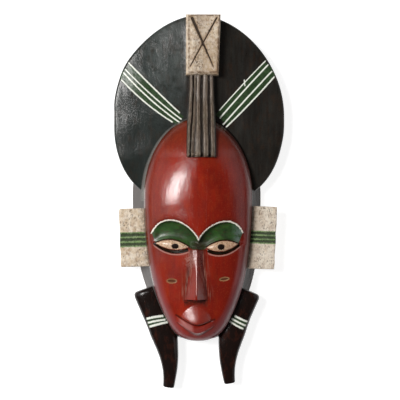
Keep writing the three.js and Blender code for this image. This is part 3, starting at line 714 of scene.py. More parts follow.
def horn_form(name, controls, seed, around=60):
    """Rings square to the curve. Their size blends from top to tip; near both ends it is drawn in by a
    quarter circle, and the last rings shrink to a point in the end face."""
    face = np.array([0, 0.35, 0.7, 0.93])
    t = np.concatenate([0 * face, np.linspace(0, 0.055, 10), np.linspace(0.065, 0.98, 102),
                        np.linspace(0.985, 1, 5), 0 * face + 1])
    closing = np.concatenate([face, np.ones(t.size - 2 * face.size), face[::-1]])
    at = bezier(controls, t)
    along = bezier(controls, np.minimum(t + 0.01, 1)) - bezier(controls, np.maximum(t - 0.01, 0))
    along /= np.hypot(along[:, 0], along[:, 1])[:, None]
    taper = smooth(0.44, 1.08, t)
    inset = HORN["top_round"] * (1 - arc(t / 0.055)) + HORN["tip_round"] * (1 - arc((1 - t) / 0.015))
    # wider where it passes the chin, most on that side
    waist = HORN["waist"] * np.exp(-(((t - 0.5) / 0.14) ** 2))
    by_chin = HORN["by_chin"] * np.exp(-(((t[:, None] - 0.5) / 0.08) ** 2))
    half = (mix(HORN["top_half"], HORN["tip_half"], taper) + waist - inset) * closing
    depth = (mix(HORN["top_depth"], HORN["tip_depth"], taper) - inset) * closing
    turn, c, s = full_turn(around)
    down_mm, around_mm = np.meshgrid(t * 140, turn * 14, indexing="ij")
    facets = 1 + 0.03 * hand_cut(down_mm, around_mm, 21, seed)
    out = half[:, None] * facets + by_chin * (c * controls[0][0] < 0)
    out = squared_off(c, 2 / HORN["full"]) * out
    up = squared_off(s, 2 / HORN["full"]) * depth[:, None] * facets
    across, down = at[:, :1] - along[:, 1:] * out, at[:, 1:] + along[:, :1] * out
    return skin(name, np.stack([across, down, HORN["middle_z"] + up], -1), BLACK)


forms += [horn_form("left_horn", HORN_LEFT, 51), horn_form("right_horn", HORN_RIGHT, 52)]

# %% [markdown]
# ## Hollow and cuts
# Behind, the face is dug out with a gouge, which leaves shallow overlapping scoops. The slits under the
# eyes go right through, and each cheek has a lens-shaped cut. These are closed shapes too, and are taken
# away below.

# %% Cutters
HOLLOW = {"x": -3, "y": 0, "half": 77, "up": 118, "down": 176, "depth": 52}


def hollow_rings(rows_up=46, around=150):
    """Half an egg, widest at the rim: size is the cosine to the 0.8, height the sine. Gouge marks are
    scoops in a staggered pattern of rows, up to 1 mm deep at the sides and 2 mm towards the chin."""
    angle = np.concatenate([[0, 0], np.linspace(0, math.pi / 2, rows_up)])[:, None]
    size, z = np.cos(angle) ** 0.8, HOLLOW["depth"] * np.sin(angle)
    size[[0, -1]] = 0
    z[:2] = -4
    turn, c, s = full_turn(around)
    scoop = np.abs(np.sin(turn * 15 + np.floor(angle * 14) * 1.7)) * np.abs(np.sin(angle * 22))
    wide = 1 + 0.012 * scoop * (z > 3)
    reach = np.where(s > 0, HOLLOW["up"], HOLLOW["down"])
    x, y = HOLLOW["x"] + HOLLOW["half"] * size * c * wide, HOLLOW["y"] + reach * size * s * wide
    return np.stack([x, y, z + 0 * c], -1)


def slit_rings(slit):
    """An upright crescent between the eye's lower edge and the slit's, pointed at both corners."""
    u = np.linspace(0, 1, 33)
    sx = mix(slit["inner"][0], slit["outer"][0], u)
    below, above = slit_bottom(sx), eye_bottom(sx)
    outline = np.concatenate([np.stack([sx, below], -1), np.stack([sx, above], -1)[-2:0:-1]])
    return np.stack([np.column_stack([outline, np.full(len(outline), zz)]) for zz in (30.0, 100.0)])


CHEEK_CUTS = [((-37.8, -110.9), (8.4, 4), -0.03), ((35.2, -108.2), (8.4, 3.4), 0.12)]


def lens_rings(at, size, turned, depth=0.9):
    """A flattened ball, longer across than high, turned a little and set half into the cheek."""
    down, (turn, c, s) = np.linspace(0, math.pi, 15)[:, None], full_turn(40)
    dx, dy = size[0] * np.sin(down) * c, size[1] * np.sin(down) * s
    z = face_z(np.array(at[0]), np.array(at[1])) + depth * np.cos(down) + 0 * turn
    return np.stack([at[0] + dx * math.cos(turned) - dy * math.sin(turned),
                     at[1] + dx * math.sin(turned) + dy * math.cos(turned), z], -1)


cutters = [skin("hollow", hollow_rings(), RAW)]
cutters += [skin(f"slit_{i}", slit_rings(slit), BLACK, capped=True) for i, slit in enumerate(SLITS)]
cutters += [skin(f"cheek_cut_{i}", lens_rings(*cut), RED) for i, cut in enumerate(CHEEK_CUTS)]

# %% [markdown]
# ## One piece of wood
# The real mask has no joints: every form grows out of the same block. Boolean modifiers join the closed
# forms and cut the hollow and the slits, so walls have true thickness and nothing is left inside. The
# result is kept as the mesh, and its crisp edges are marked by their angle.


# %% Join and cut
def settle(body, parts, operation):
    """Adds one Boolean modifier for each part, keeps the result as the body's mesh, and removes the
    parts."""
    for part in parts:
        change = body.modifiers.new(part.name, "BOOLEAN")
        change.object, change.operation = part, operation
        change.solver, change.material_mode = "MANIFOLD", "INDEX"
    shape = body.evaluated_get(bpy.context.evaluated_depsgraph_get())
    settled = bpy.data.meshes.new_from_object(shape)
    body.modifiers.clear()
    old, body.data = body.data, settled
    bpy.data.meshes.remove(old)
    for part in parts:
        bpy.data.meshes.remove(part.data)


settle(carved_mask, forms, "UNION")
settle(carved_mask, cutters, "DIFFERENCE")
print("open edges after carving:", close_up(carved_mask.data, near=3e-5, short=2e-5))
carved_mask.data.calc_loop_triangles()
print("triangles:", len(carved_mask.data.loop_triangles))
carved_mask.data.polygons.foreach_set("use_smooth", [True] * len(carved_mask.data.polygons))
carved_mask.data.set_sharp_from_angle(angle=math.radians(34))

# %% [markdown]
# ## Where the paint goes
# The painted lines were brushed along the carving. For each of them the mesh stores a signed distance in
# millimetres at every point, worked out from the same lines that shaped it. A signed distance changes
# evenly across a line, so a material can draw a crisp, thin edge from it, finer than the mesh. Worn and
# dirty places are stored as a share from 0 to 1. All of them are kept on the mesh as attributes.

# %% Store a distance
points = np.empty(len(carved_mask.data.vertices) * 3)
carved_mask.data.vertices.foreach_get("co", points)
px, py, pz = (points.reshape(-1, 3) / MM).T
print("points on the mask:", px.size)


def store(name, values):
    """Keeps one number for each point of the mesh under a name."""
    attribute = carved_mask.data.attributes.new(name, "FLOAT", "POINT")
    attribute.data.foreach_set("value", np.clip(values, -200, 400).astype(np.float32))
    print(f"{name}: {values.min():.1f} to {values.max():.1f}")


def curve_distance(line):
    """Distance to a drawn line, given as points: the least over its short straight pieces."""
    least = np.full(px.shape, 1e3)
    for start, end in zip(line[:-1], line[1:]):
        least = np.minimum(least, segment_distance(px, py, start, end)[0])
    return least


def spot(x, y, across, along):
    """1 at a place, falling off around it like a bell: e to minus the squares of the two shares."""
    return np.exp(-(((px - x) / across) ** 2) - ((py - y) / along) ** 2)


def oval(at, size, turned=0.0):
    """Distance into a turned oval, true at its short axis, and the height above its long axis."""
    dx, dy = px - at[0], py - at[1]
    u, v = dx * math.cos(turned) + dy * math.sin(turned), dy * math.cos(turned) - dx * math.sin(turned)
    return (1 - np.hypot(u / size[0], v / size[1])) * min(size), v


# %% Lids, eyes, slits and the marks on the cheeks
APART, FAR = 20, 60  # mm: stored where a line doesn't run
PUPILS = (((-33.2, -62.4), (6.0, 4.3)), ((30.4, -63.6), (5.9, 4.8)))  # middle, half size
store("brow_mm", curve_distance(BROWS))
below_tips = np.maximum(0, -43 - py)  # each end of a lid slants inwards below the tip of its brow
lid_ends = np.minimum(px + 66.4 - 0.35 * below_tips, 61.4 - 0.4 * below_tips - px)
between_eyes = 3.6 * np.exp(-(((px + 1.5) / 11.5) ** 6))
store("lid_mm", np.minimum.reduce([brow_line(px) - py, py - eye_top(px) + between_eyes, lid_ends]))
on_eye = ((px > -62) & (px < -12)) | ((px > 9) & (px < 57.5))
store("lash_mm", np.where(on_eye, py - eye_top(px), APART))
store("eye_mm", np.minimum(eye_top(px) - py, py - eye_bottom(px) + 0.4))
on_slit = ((px > -64) & (px < -13)) | ((px > 11) & (px < 58))
store("slit_mm", np.where(on_slit, slit_bottom(px) - py, APART))
store("pupil_mm", np.maximum(*[oval(*pupil)[0] for pupil in PUPILS]))
marks = [oval(*cut) for cut in CHEEK_CUTS]
for name, left, right in zip(("mark_mm", "mark_line_mm"), *marks):
    store(name, np.where(marks[0][0] > marks[1][0], left, right))

# %% Nose and mouth
on_nose = (py < NOSE["root_y"] - 8) & (py > NOSE_FOOT)
in_nose = nose_half(py, px > NOSE["x"]) - np.abs(px - NOSE["x"])
store("nose_mm", np.where(on_nose, in_nose, APART))
store("by_nose", np.exp(-((in_nose / 6) ** 2)) * smooth(-62, -74, py) * smooth(-144, -128, py))
store("on_root", smooth(0, 2, in_nose) * smooth(-98, -76, py) * (py < NOSE["root_y"]))
# where the lamp's highlight is painted beside the nose's root
store("painted_nose_root_highlight", spot(-12, -80, 8, 11))
store("bridge", spot(0.5, -63, 13, 11))
under_nose = (in_nose > -1) & (py < NOSE_FOOT + 1)
store("under_nose_mm", np.where(under_nose, NOSE_FOOT - py, FAR))
off = np.abs(px - LOWER_LIP["x"])
store("mouth_mm", np.where(off < MOUTH_CORNER, py - mouth_line(px), APART))
store("lip_mm", np.where(off < LOWER_LIP["half"], py - lip_line(px), APART))
# where the lamp's highlight is painted on the lower lip
painted_lip_highlight = smooth(1, 3, mouth_line(px) - py) * smooth(0, 2, py - lip_line(px))
store("painted_lip_highlight", painted_lip_highlight * smooth(-6, -12, px) * smooth(-31, -22, px))
store("on_dome", np.where(py > mouth_line(px), upper_lip_share(px, py), 0))

# %% Edges of the face
outline = face_half(face_share(py)) - np.abs(px - FACE["x"])
store("outline_mm", np.where(pz > EDGE_Z - 0.5, outline, -5))
low_rim = (np.abs(px - FACE["x"]) / FACE["half"]) ** 2.3 + np.abs(face_share(py)) ** 2.3
store("low_rim", np.where((py < -110) & (pz > 20), low_rim, 0))
around = np.hypot((px - FACE["x"]) / FACE["half"], py / FACE["up"]) - 1
around = around * (FACE["half"] + FACE["up"]) / 2
store("around_mm", np.where((py > 0) & (pz < CREST["front"] + 12), around, FAR))

# %% [markdown]
# ## Lines on the crest and the horns
# Each side of the crest has four white lines with green between them, and each horn has three. They are
# painted freehand, so each has its own ends, its own sag and its own width.

# %% Brushed strokes
CREST_STROKES = [  # start near the tress, end near the edge, sag, half width
    [((-26.5, 123.4), (-100.5, 196.2), 0.8, 0.85), ((-24.2, 114.6), (-105.2, 186.9), 2.4, 0.75),
     ((-26.5, 110.0), (-107.6, 182.2), 3.2, 0.85), ((-36.4, 110.6), (-110.5, 172.2), 3.4, 0.85)],
    [((28.0, 126.8), (94.8, 198.8), -0.8, 0.65), ((28.4, 115.7), (98.3, 193.4), -0.6, 0.85),
     ((33.0, 106.6), (103.6, 184.1), -0.4, 0.85), ((37.4, 103.4), (107.1, 176.5), 1.2, 0.85),
     ((63.6, 171.6), (64.8, 161.2), 0.0, 0.6)],  # the last one is a drip
]
HORN_STROKES = [  # outer end, inner end, sag, half width
    [((-75.2, -166.6), (-49.4, -162.0), -0.7, 1.35), ((-73.4, -172.3), (-46.4, -167.0), -0.6, 1.15),
     ((-70.8, -177.8), (-43.4, -170.6), -0.5, 1.25)],
    [((69.0, -170.9), (49.4, -161.5), 0.3, 1.15), ((66.9, -176.6), (44.8, -165.3), 0.3, 1.1),
     ((63.4, -181.1), (42.2, -169.1), 0.4, 1.15)],
]


def stroke_distance(start, end, sag, half_width):
    """Signed distance to a stroke in half widths, and how far its nearer end is, in mm. The stroke is a
    straight line bent by sag times 4u(1 - u)."""
    (x0, y0), (x1, y1) = start, end
    length = math.hypot(x1 - x0, y1 - y0)
    ux, uy = (x1 - x0) / length, (y1 - y0) / length
    run = (px - x0) * ux + (py - y0) * uy
    u = np.clip(run / length, 0, 1)
    off = (px - x0) * -uy * np.sign(ux) + (py - y0) * ux * np.sign(ux) + sag * 4 * u * (1 - u)
    return off / half_width, np.minimum(run, length - run)


STROKES = 5  # the most that one group has; a group with fewer repeats its last
group = np.where(py > 0, 0, 2) + (px > 0)  # crest left and right, horn left and right
for number in range(STROKES):
    chosen = [strokes[min(number, len(strokes) - 1)] for strokes in CREST_STROKES + HORN_STROKES]
    found = [stroke_distance(*stroke) for stroke in chosen]
    for name, values in zip(("stroke", "stroke_run"), zip(*found)):
        store(f"{name}_{number}", np.choose(group, values))

# %% Distances on the ears, the block and the tress
store("band_phase", np.where(px < 0, *[band_phase(ear, py - ear_slant(ear, px)) for ear in EARS]))
store("cut_mm", cut_depth_mm(px, py))
store("block_mm", np.minimum.reduce([distance - width for distance, width in block_edges(px, py)]))
store("ear_mm", -outline)
store("flute", flute(px, py) * (py < TRESS["top"]))

# %% [markdown]
# ## Paint in layers
# The painter worked in layers: a ground colour, broken by wear and brush marks, then the lines on top. The
# materials are built the same way. A finish holds a material while it is painted. One small function of it
# adds a node with its settings and links, and the others work out masks and lay coats of colour with it.

# %% Material tools
def linear(code):
    """sRGB hex to the linear colour that a shader needs: each channel through the sRGB curve."""
    channels = np.array([int(code[i : i + 2], 16) for i in (1, 3, 5)]) / 255
    return (*np.where(channels <= 0.04045, channels / 12.92, ((channels + 0.055) / 1.055) ** 2.4), 1.0)


class Finish:
    """A paint in the making: its material, its shader, and the place on the piece in millimetres."""

    def __init__(self, name, like=None):
        """Starts with a bare shader, or with all the nodes of another finish."""
        self.material = like.material.copy() if like else bpy.data.materials.new(name)
        self.material.name = name
        self.material.use_nodes = True
        self.tree = self.material.node_tree
        nodes = self.tree.nodes
        if like:
            self.shader, self.place = nodes[like.shader.name], nodes[like.place.node.name].outputs[0]
            return
        nodes.clear()
        self.shader = self.add("BsdfPrincipled").node
        self.add("OutputMaterial", {0: self.shader.outputs[0]})
        self.place = self.add("Mapping", {0: self.add("TexCoord", out="Object"), "Scale": (1 / MM,) * 3})

    def fill(self, node, inputs):
        """Fills a node's inputs, by name or number, with numbers, colours or links."""
        for key, value in inputs.items():
            if isinstance(value, bpy.types.NodeSocket):
                self.tree.links.new(value, node.inputs[key])
            else:
                node.inputs[key].default_value = value

    def add(self, kind, inputs=None, out=0, **settings):
        """Adds a node, sets its properties, fills its inputs, and gives back one of its outputs."""
        made = self.tree.nodes.new("ShaderNode" + kind)
        for key, value in settings.items():
            setattr(made, key, value)
        self.fill(made, inputs or {})
        return made.outputs[out] if made.outputs else None

    def read(self, source):
        """A mask as it is, "X" or "Y" as the place along that axis in mm, and any other name as the number
        that the mesh stores under it."""
        if not isinstance(source, str):
            return source
        if source in ("X", "Y"):
            return self.add("SeparateXYZ", {0: self.place}, source)
        return self.add("Attribute", out="Fac", attribute_name=source)

    def span(self, source, none, full, ragged=None, by=0.0, both_sides=False):
        """A mask that is 0 where the source is none, 1 where it is full, and in between a straight blend.
        With both_sides the sign of the source is dropped. A ragged mask moves the edge by up to half of by,
        as a brush does."""
        source = self.read(source)
        if both_sides:
            source = self.add("Math", {0: source}, operation="ABSOLUTE")
        if ragged is not None:
            offset = self.add("Math", {0: ragged, 1: 0.5}, operation="SUBTRACT")
            source = self.add("Math", {0: offset, 1: by, 2: source}, operation="MULTIPLY_ADD")
        return self.add("MapRange", {0: source, 1: none, 2: full})

    def mottle(self, size, low, high, stretch=(1, 1, 1), detail=5.0, seed=0.0):
        """A mask from 0 to 1: noise with patches of size mm, stretched, between two thresholds."""
        shift = (seed, seed * 0.7, seed * 0.3)
        scaled = self.add("Mapping", {0: self.place, "Location": shift, "Scale": stretch})
        pattern = {"Vector": scaled, "Scale": 1 / size, "Detail": detail, "Roughness": 0.6}
        return self.add("MapRange", {0: self.add("TexNoise", pattern), 1: low, 2: high})

    def overlap(self, first, *others):
        """Where all of the masks are: their product."""
        product = self.read(first)
        for mask in others:
            product = self.add("Math", {0: product, 1: self.read(mask)}, operation="MULTIPLY")
        return product

    def coats(self, paint, *layers):
        """Lays coats over a paint in turn. Each is a colour, how well it covers, and its masks."""
        paint = linear(paint) if isinstance(paint, str) else paint
        for colour, cover, *masks in layers:
            colour = linear(colour) if isinstance(colour, str) else colour
            blend = {0: self.overlap(*masks, cover), 6: paint, 7: colour}
            paint = self.add("Mix", blend, 2, data_type="RGBA")
        return paint

    def dulled(self, gloss, *layers):
        """Adds to a roughness: each mask times how much rougher the surface is there."""
        for mask, more in layers:
            gloss = self.add("Math", {0: mask, 1: more, 2: gloss}, operation="MULTIPLY_ADD")
        return gloss

    def relief(self, *layers):
        """Chains bumps, each a mask and its height in mm, into the shader's normal."""
        bump = {}
        for height, depth in layers:
            inputs = {"Height": height, "Distance": depth * MM, "Strength": 1.0}
            bump = {"Normal": self.add("Bump", inputs | bump)}
        self.fill(self.shader, bump)

    def tell(self, made):
        """Says what has been made, and how many nodes the material has by now."""
        print(f"{self.material.name}, {made}: {len(self.tree.nodes)} nodes")


print("the face's red, linear:", [round(channel, 3) for channel in linear("#9f240f")[:3]])

# %% [markdown]
# ## Red lacquer of the face
# The face is a red-brown oil paint under a clear varnish. It is glossy, so the lamp shows on it as soft
# bright shapes, and it is uneven: orange where it is thin, dark where it has pooled or collected dirt.
# Light is painted into it too: shade on the side away from the lamp and in and under the carving, and sheen
# and highlights where the lamp or the room would show. The green lids, the white brow lines, the cream eyes
# and the marks on the cheeks are painted over it.

# %% Red lacquer: the ground
red = Finish("red_lacquer_over_wood")
cloud = red.mottle(26, 0.38, 0.64, stretch=(1, 0.5, 1), seed=3)
thin = red.mottle(9, 0.5, 0.72, stretch=(1, 0.55, 1), seed=17)
grit = red.mottle(1.7, 0.54, 0.72, detail=3, seed=29)  # drawn at 1.7 mm: the real grit is finer
brushed = red.mottle(3.2, 0.35, 0.7, stretch=(1, 0.09, 1), detail=3, seed=41)
darker_on_right = red.span("X", -25, 55)  # darker towards the right, away from the lamp: painted shade, and a deeper red as well
high = red.span("Y", 45, 105)
ground = red.coats(
    "#9f240f",
    ("#761507", 0.75, cloud),
    ("#a83c14", 0.4, thin),
    ("#580803", 0.7, darker_on_right),
    ("#49301f", 0.6, high),  # darker brown towards the crown, next to the crest
    ("#5a2a1c", 0.4, red.span("X", -34, -66)),  # rubbed thin towards the left edge
    ("#470b06", 0.2, brushed),
    ("#b4562a", 0.22, grit),
)
red.tell("ground")

# %% Red lacquer: dirt, wear, painted shade and painted highlights along the edges and the cuts
by_left = red.add("MapRange", {0: red.read("X"), 1: -36, 2: 10, 3: 0.3})
on_dome = red.span("on_dome", 0, 0.5)
slit_rims = {0: red.span("slit_mm", -0.1, 0.5, grit, 0.6), 1: red.span("slit_mm", 1.1, 2.3, grit, 1)}
creases = (("mouth_mm", 2.2, 0.8), ("lip_mm", 1.8, 0.5), ("nose_mm", 1.6, 0.4))  # line, reach in mm, cover
ground = red.coats(
    ground,
    ("#33160f", 0.65, red.span("outline_mm", 9, 0.5)),
    # painted shade on the upper right of the face's outline, the side away from the lamp
    ("#1d0a06", 0.7, red.span("outline_mm", 16, 3), red.span("X", 8, 30), high),
    # painted sheen: the mauve of the room reflected where the cheeks turn and round the chin
    ("#865a60", 0.42, red.span("outline_mm", 17, 8), red.span("Y", -72, -108)),
    ("#7c5558", 0.6, red.span("low_rim", 0.74, 0.98), by_left),
    # a thin tan line along the rim on the left: worn paint, with a painted highlight where the rim faces
    # the lamp
    ("#7a5f45", 0.4, red.span("outline_mm", 1.4, 0.4, brushed, 1.2), red.span("X", 10, -20)),
    # painted shade along the creases of the mouth, the lower lip and the foot of the nose
    *[("#36100a", cover, red.span(line, reach, 0.4, both_sides=True)) for line, reach, cover in creases],
    # painted shade under the nose, broken into specks
    ("#2e140c", 0.85, red.span("under_nose_mm", 11, 3), red.mottle(1.8, 0.3, 0.5, seed=45)),
    # painted shade beside the nose
    ("#57170d", 0.45, "by_nose"),
    ("#2f100a", 0.6, "by_nose", red.mottle(2.2, 0.4, 0.62, stretch=(1, 0.08, 1), detail=3, seed=83)),
    # painted glints: pale streaks down the sides of the nose, where the knife's facets catch the light
    ("#a87868", 0.55, "by_nose", red.mottle(1.8, 0.5, 0.64, stretch=(1, 0.06, 1), detail=3, seed=99)),
    ("#c08a86", 0.45, "painted_lip_highlight"),  # painted highlight: the lamp's sheen on the left of the lower lip
    ("#c49a90", 0.62, "painted_nose_root_highlight", red.mottle(2.6, 0.38, 0.6, seed=91)),  # painted highlight: the lamp's reflection on the left of the nose's root
    # painted sheen on the upper lip
    ("#8a3a30", 0.35, on_dome),
    # painted highlight along the lower rim of each slit
    ("#c9a598", 0.5, red.add("Math", slit_rims, operation="SUBTRACT")),
    # painted shade round the lids, which darkens the corners at the nose's root
    ("#3a130b", 0.5, red.span("lid_mm", -7, -0.5)),
)
red.tell("dirt and wear")

# %% Red lacquer: lids, eyes, brows and the marks on the cheeks
green = red.coats(
    "#2f5421",
    ("#1c2c14", 0.9, red.mottle(12, 0.35, 0.65, seed=53)),
    ("#40691f", 0.6, red.mottle(8, 0.55, 0.75, stretch=(0.6, 1, 1), seed=59)),
    ("#3a2a17", 0.7, red.mottle(3, 0.52, 0.68, stretch=(0.5, 1, 1), seed=63)),
    ("#66705c", 0.12, grit),
    ("#2b1d12", 0.9, "bridge"),  # darker brown on the bridge of the nose
    ("#6f7f7c", 0.6, red.span("X", 44, 56), red.mottle(5, 0.35, 0.55, seed=87)),
)
cream = red.coats(
    "#dfc0a2",
    ("#a8754f", 0.65, red.mottle(2.6, 0.48, 0.62, seed=61)),
    ("#dcc3aa", 0.6, red.mottle(4, 0.5, 0.66, seed=67)),
    ("#5c3220", 0.65, red.mottle(1.6, 0.52, 0.6, seed=69)),
    # painted shade: the right eye is darker, away from the lamp
    ("#7a4a30", 0.35, darker_on_right),
)
on_brow = red.span("brow_mm", 1.25, 0.65, red.mottle(2.4, 0.35, 0.65, seed=73), 1)
mark_line = red.span("mark_line_mm", 0.9, 0.4, both_sides=True)
paint = red.coats(
    ground,
    (green, 1, red.span("lid_mm", -0.35, 0.35, grit, 0.8)),
    (cream, 1, red.span("eye_mm", 0.1, 0.9, grit, 1.2)),
    ("#180b07", 1, red.span("pupil_mm", -0.45, 0.45, grit, 1.4)),
    ("#1c140d", 0.8, red.span("lash_mm", 1.1, 0.5, both_sides=True)),
    ("#f4ede0", 0.97, on_brow),
    ("#a3835a", 0.7, red.span("mark_mm", -0.25, 0.45, grit, 0.8)),
    ("#6a3018", 0.8, red.span("mark_mm", 0.6, 1.6, grit, 0.8)),
    ("#22120b", 0.9, mark_line, red.span("mark_mm", 0.9, 1.5)),
)
red.tell("painted lines")

# %% Red lacquer: gloss and relief
gloss = red.dulled(
    red.add("MapRange", {0: cloud, 3: 0.16, 4: 0.22}),
    (brushed, 0.04),
    (red.span("lid_mm", -0.5, 0.5), 0.14),
    (on_dome, 0.12),
    (red.overlap("on_root", red.mottle(2.4, 0.44, 0.56, seed=89)), 0.45),
    (red.overlap(red.span("outline_mm", 3.5, 1.2), darker_on_right), 0.5),
)
red.fill(red.shader, {"Base Color": paint, "Roughness": gloss, "IOR": 1.43})
red.fill(red.shader, {"Coat Weight": 0.1, "Coat Roughness": 0.1})
knife = red.mottle(7, 0.2, 0.8, stretch=(1, 0.45, 1), detail=2, seed=71)
red.relief((knife, 0.1), (brushed, 0.05), (grit, 0.06), (on_brow, 0.12))
red.tell("gloss and relief")

# %% [markdown]
# ## Black paint of the crest, the wall and the horns
# A thin black paint over the wood, brushed along the length and rubbed with grey and brown; on its left
# half, towards the lamp, the lamp's sheen is painted in as a cool grey. It shines less than the lacquer, so
# its index of refraction is lower. The white and green lines are painted over it with a thin brush. The
# side wall has the same paint, duller, with a painted reflection that makes it lighter on the left and
# painted shade that makes it darker on the right.

# %% Black paint: the ground
black = Finish("satin_black_paint_over_wood")
cloud = black.mottle(30, 0.35, 0.68, stretch=(1, 0.6, 1), seed=7)
streak = black.mottle(3.0, 0.38, 0.68, stretch=(1, 0.07, 1), detail=4, seed=13)
rub = black.mottle(7, 0.5, 0.72, stretch=(1, 0.4, 1), seed=23)
grit = black.mottle(1.6, 0.5, 0.72, detail=3, seed=31)  # drawn at 1.6 mm: the real grit is finer
painted_lamp_sheen = [black.span("X", -14, -28), black.span("X", -98, -70), black.mottle(9, 0.25, 0.6, seed=97)]
dust_and_lamp_sheen = [black.span("around_mm", 8, 2), black.span("X", -10, -24), black.mottle(2.5, 0.3, 0.55, seed=93)]
ground = black.coats(
    "#1b1714",
    ("#292521", 1, cloud),
    ("#1f2826", 0.7, black.span("X", 0, -60)),  # painted sheen: the left half, towards the lamp, is a cool grey
    # painted sheen of the lamp, grey on the upper left of the crest
    ("#4a504e", 0.8, black.span("Y", 70, 175), *painted_lamp_sheen),
    ("#39423f", 0.15, streak),
    ("#3a2618", 0.4, rub),
    ("#0d0a09", 0.4, grit),
    ("#a6aca2", 0.9, *dust_and_lamp_sheen),  # dust and rubbed paint round the top of the face, with the lamp's sheen painted in on its left
    (black.coats("#170805", ("#3a180e", 1, rub)), 0.85, black.span("Y", -105, -125)),  # the horns
)
black.tell("ground")

# %% Black paint: lines on the crest and the horns
white = None
for number in range(STROKES):
    here = black.overlap(black.span(f"stroke_{number}", 1.3, 0.7, grit, 0.5, both_sides=True),
                         black.span(f"stroke_run_{number}", 0, 1.2, grit, 1))
    white = here if white is None else black.add("Math", {0: white, 1: here}, operation="MAXIMUM")
green = black.coats("#2a3d24", ("#3a5233", 1, black.mottle(6, 0.4, 0.65, seed=37)), ("#22291d", 0.5, grit))
between = [black.span("stroke_0", 0.3, -0.3), black.span("stroke_3", -0.3, 0.3)]
between.append(black.span("stroke_run_1", 0.2, 1.8))
paint = black.coats(ground, (green, 0.95, *between), ("#f0f3e8", 0.97, white))
black.tell("painted lines")

# %% Black paint: gloss and relief
gloss = black.dulled(black.add("MapRange", {0: cloud, 3: 0.155, 4: 0.2}), (streak, 0.03))
black.fill(black.shader, {"Base Color": paint, "Roughness": gloss, "IOR": 1.36})
knife = black.mottle(9, 0.2, 0.8, stretch=(1, 0.35, 1), detail=2, seed=43)
black.relief((knife, 0.1), (streak, 0.012), (grit, 0.05), (white, 0.15))
black.tell("gloss and relief")

# %% Black paint: the side wall
wall = Finish("dusty_black_paint_of_the_side_wall", like=black)
paint = wall.coats(
    wall.shader.inputs["Base Color"].links[0].from_socket,
    # painted reflection: the wall is lighter on the left, as if it mirrored the white card
    ("#6e6967", 0.75, wall.span("X", 0, -70)),
    # painted shade: the wall is darker on the right, away from the lamp
    ("#1d130c", 0.7, wall.span("X", 0, 60)),
)
wall.fill(wall.shader, {"Base Color": paint, "IOR": 1.08})
wall.tell("copy of the black paint with painted reflection and shade")

# %% [markdown]
# ## Pale paint of the block and the ears
# A chalky cream distemper over the wood, with dark specks where the pores show through. It is matt. The
# ears have a green band, darker in its grooves, and the cuts in the block are dark.

# %% Pale paint: the ground
pale = Finish("matt_cream_distemper_over_wood")
cloud = pale.mottle(14, 0.35, 0.65, seed=5)
pores = pale.mottle(1.7, 0.52, 0.62, stretch=(1, 0.5, 1), detail=4, seed=11)
rubbed = pale.mottle(10, 0.38, 0.6, seed=39)
pores = pale.overlap(pores, rubbed)  # they show in groups, where the paint is rubbed
chalk = pale.mottle(6, 0.42, 0.62, seed=19)
grit = pale.mottle(1.2, 0.5, 0.7, detail=3, seed=47)
ground = pale.coats(
    "#dccab0",
    ("#c7af92", 1, cloud),
    ("#f0e6d7", 0.7, chalk),
    ("#f3ebdd", 0.45, pale.span("X", 50, 70)),  # the right ear has kept more of its white
    ("#96705a", 0.45, pale.mottle(5, 0.5, 0.7, seed=25)),
    ("#48301f", 0.8, pores),
    # painted shade where the ears meet the face, stronger on the inner part of the right ear
    ("#4c3323", 0.7, pale.span("ear_mm", 9, 1), pale.mottle(3, 0.35, 0.6, seed=51)),
    ("#7a6248", 0.45, pale.span("ear_mm", 20, 4), pale.span("X", 0, 10)),
)
pale.tell("ground")

# %% Pale paint: the green band of the ears
phase = pale.read("band_phase")
from_middle = pale.add("Math", {0: phase, 1: 1.5}, operation="SUBTRACT")
in_band = pale.span(from_middle, 1.57, 1.47, grit, 0.2, both_sides=True)
to_groove = pale.add("Math", {0: phase}, operation="FRACT")
to_groove = pale.add("Math", {0: to_groove, 1: 0.5}, operation="SUBTRACT")
to_groove = pale.add("Math", {0: to_groove}, operation="ABSOLUTE")
from_ridge = pale.add("Math", {0: 0.5, 1: to_groove}, operation="SUBTRACT")
beads = pale.mottle(1.6, 0.35, 0.65, stretch=(1, 0.6, 1), detail=1, seed=77)
in_groove = pale.span(from_ridge, 0.09, 0.25, beads, 0.2)
green = pale.coats("#7d9f60", ("#567a45", 1, cloud), ("#b3b896", 0.3, chalk), ("#1b3314", 0.95, in_groove))
pale.tell("green band")

# %% Pale paint: the block's arrises and cuts
on_block = pale.span("Y", 165, 170)
paint = pale.coats(
    ground,
    (green, 0.95, in_band),
    ("#8a684a", 0.4, pale.span("block_mm", 4, 0, both_sides=True), on_block),
    # the right half is browner
    ("#8a6c48", 0.42, pale.span("X", -4, 24), on_block, pale.span("Y", 238, 218)),
    ("#4f3824", 0.7, pale.span("block_mm", 0.9, 0.1, chalk, 1.4, both_sides=True), on_block),
    ("#9a7a58", 0.5, pale.span("cut_mm", -2.6, 0)),
    ("#2c1d10", 0.95, pale.span("cut_mm", -0.35, 0.35, pores, 0.9)),
)
pale.fill(pale.shader, {"Base Color": paint, "Roughness": 0.72, "IOR": 1.45})
pale.relief((cloud, 0.3), (pores, -0.25), (grit, 0.1))
pale.tell("block, gloss and relief")

# %% [markdown]
# ## Brown stain of the tress
# The flutes are stained brown, darker in the grooves, and have a painted highlight along the shoulders of
# the ridges. The stored number of the flutes, 0 on a ridge and 1 in a groove, says where each belongs.

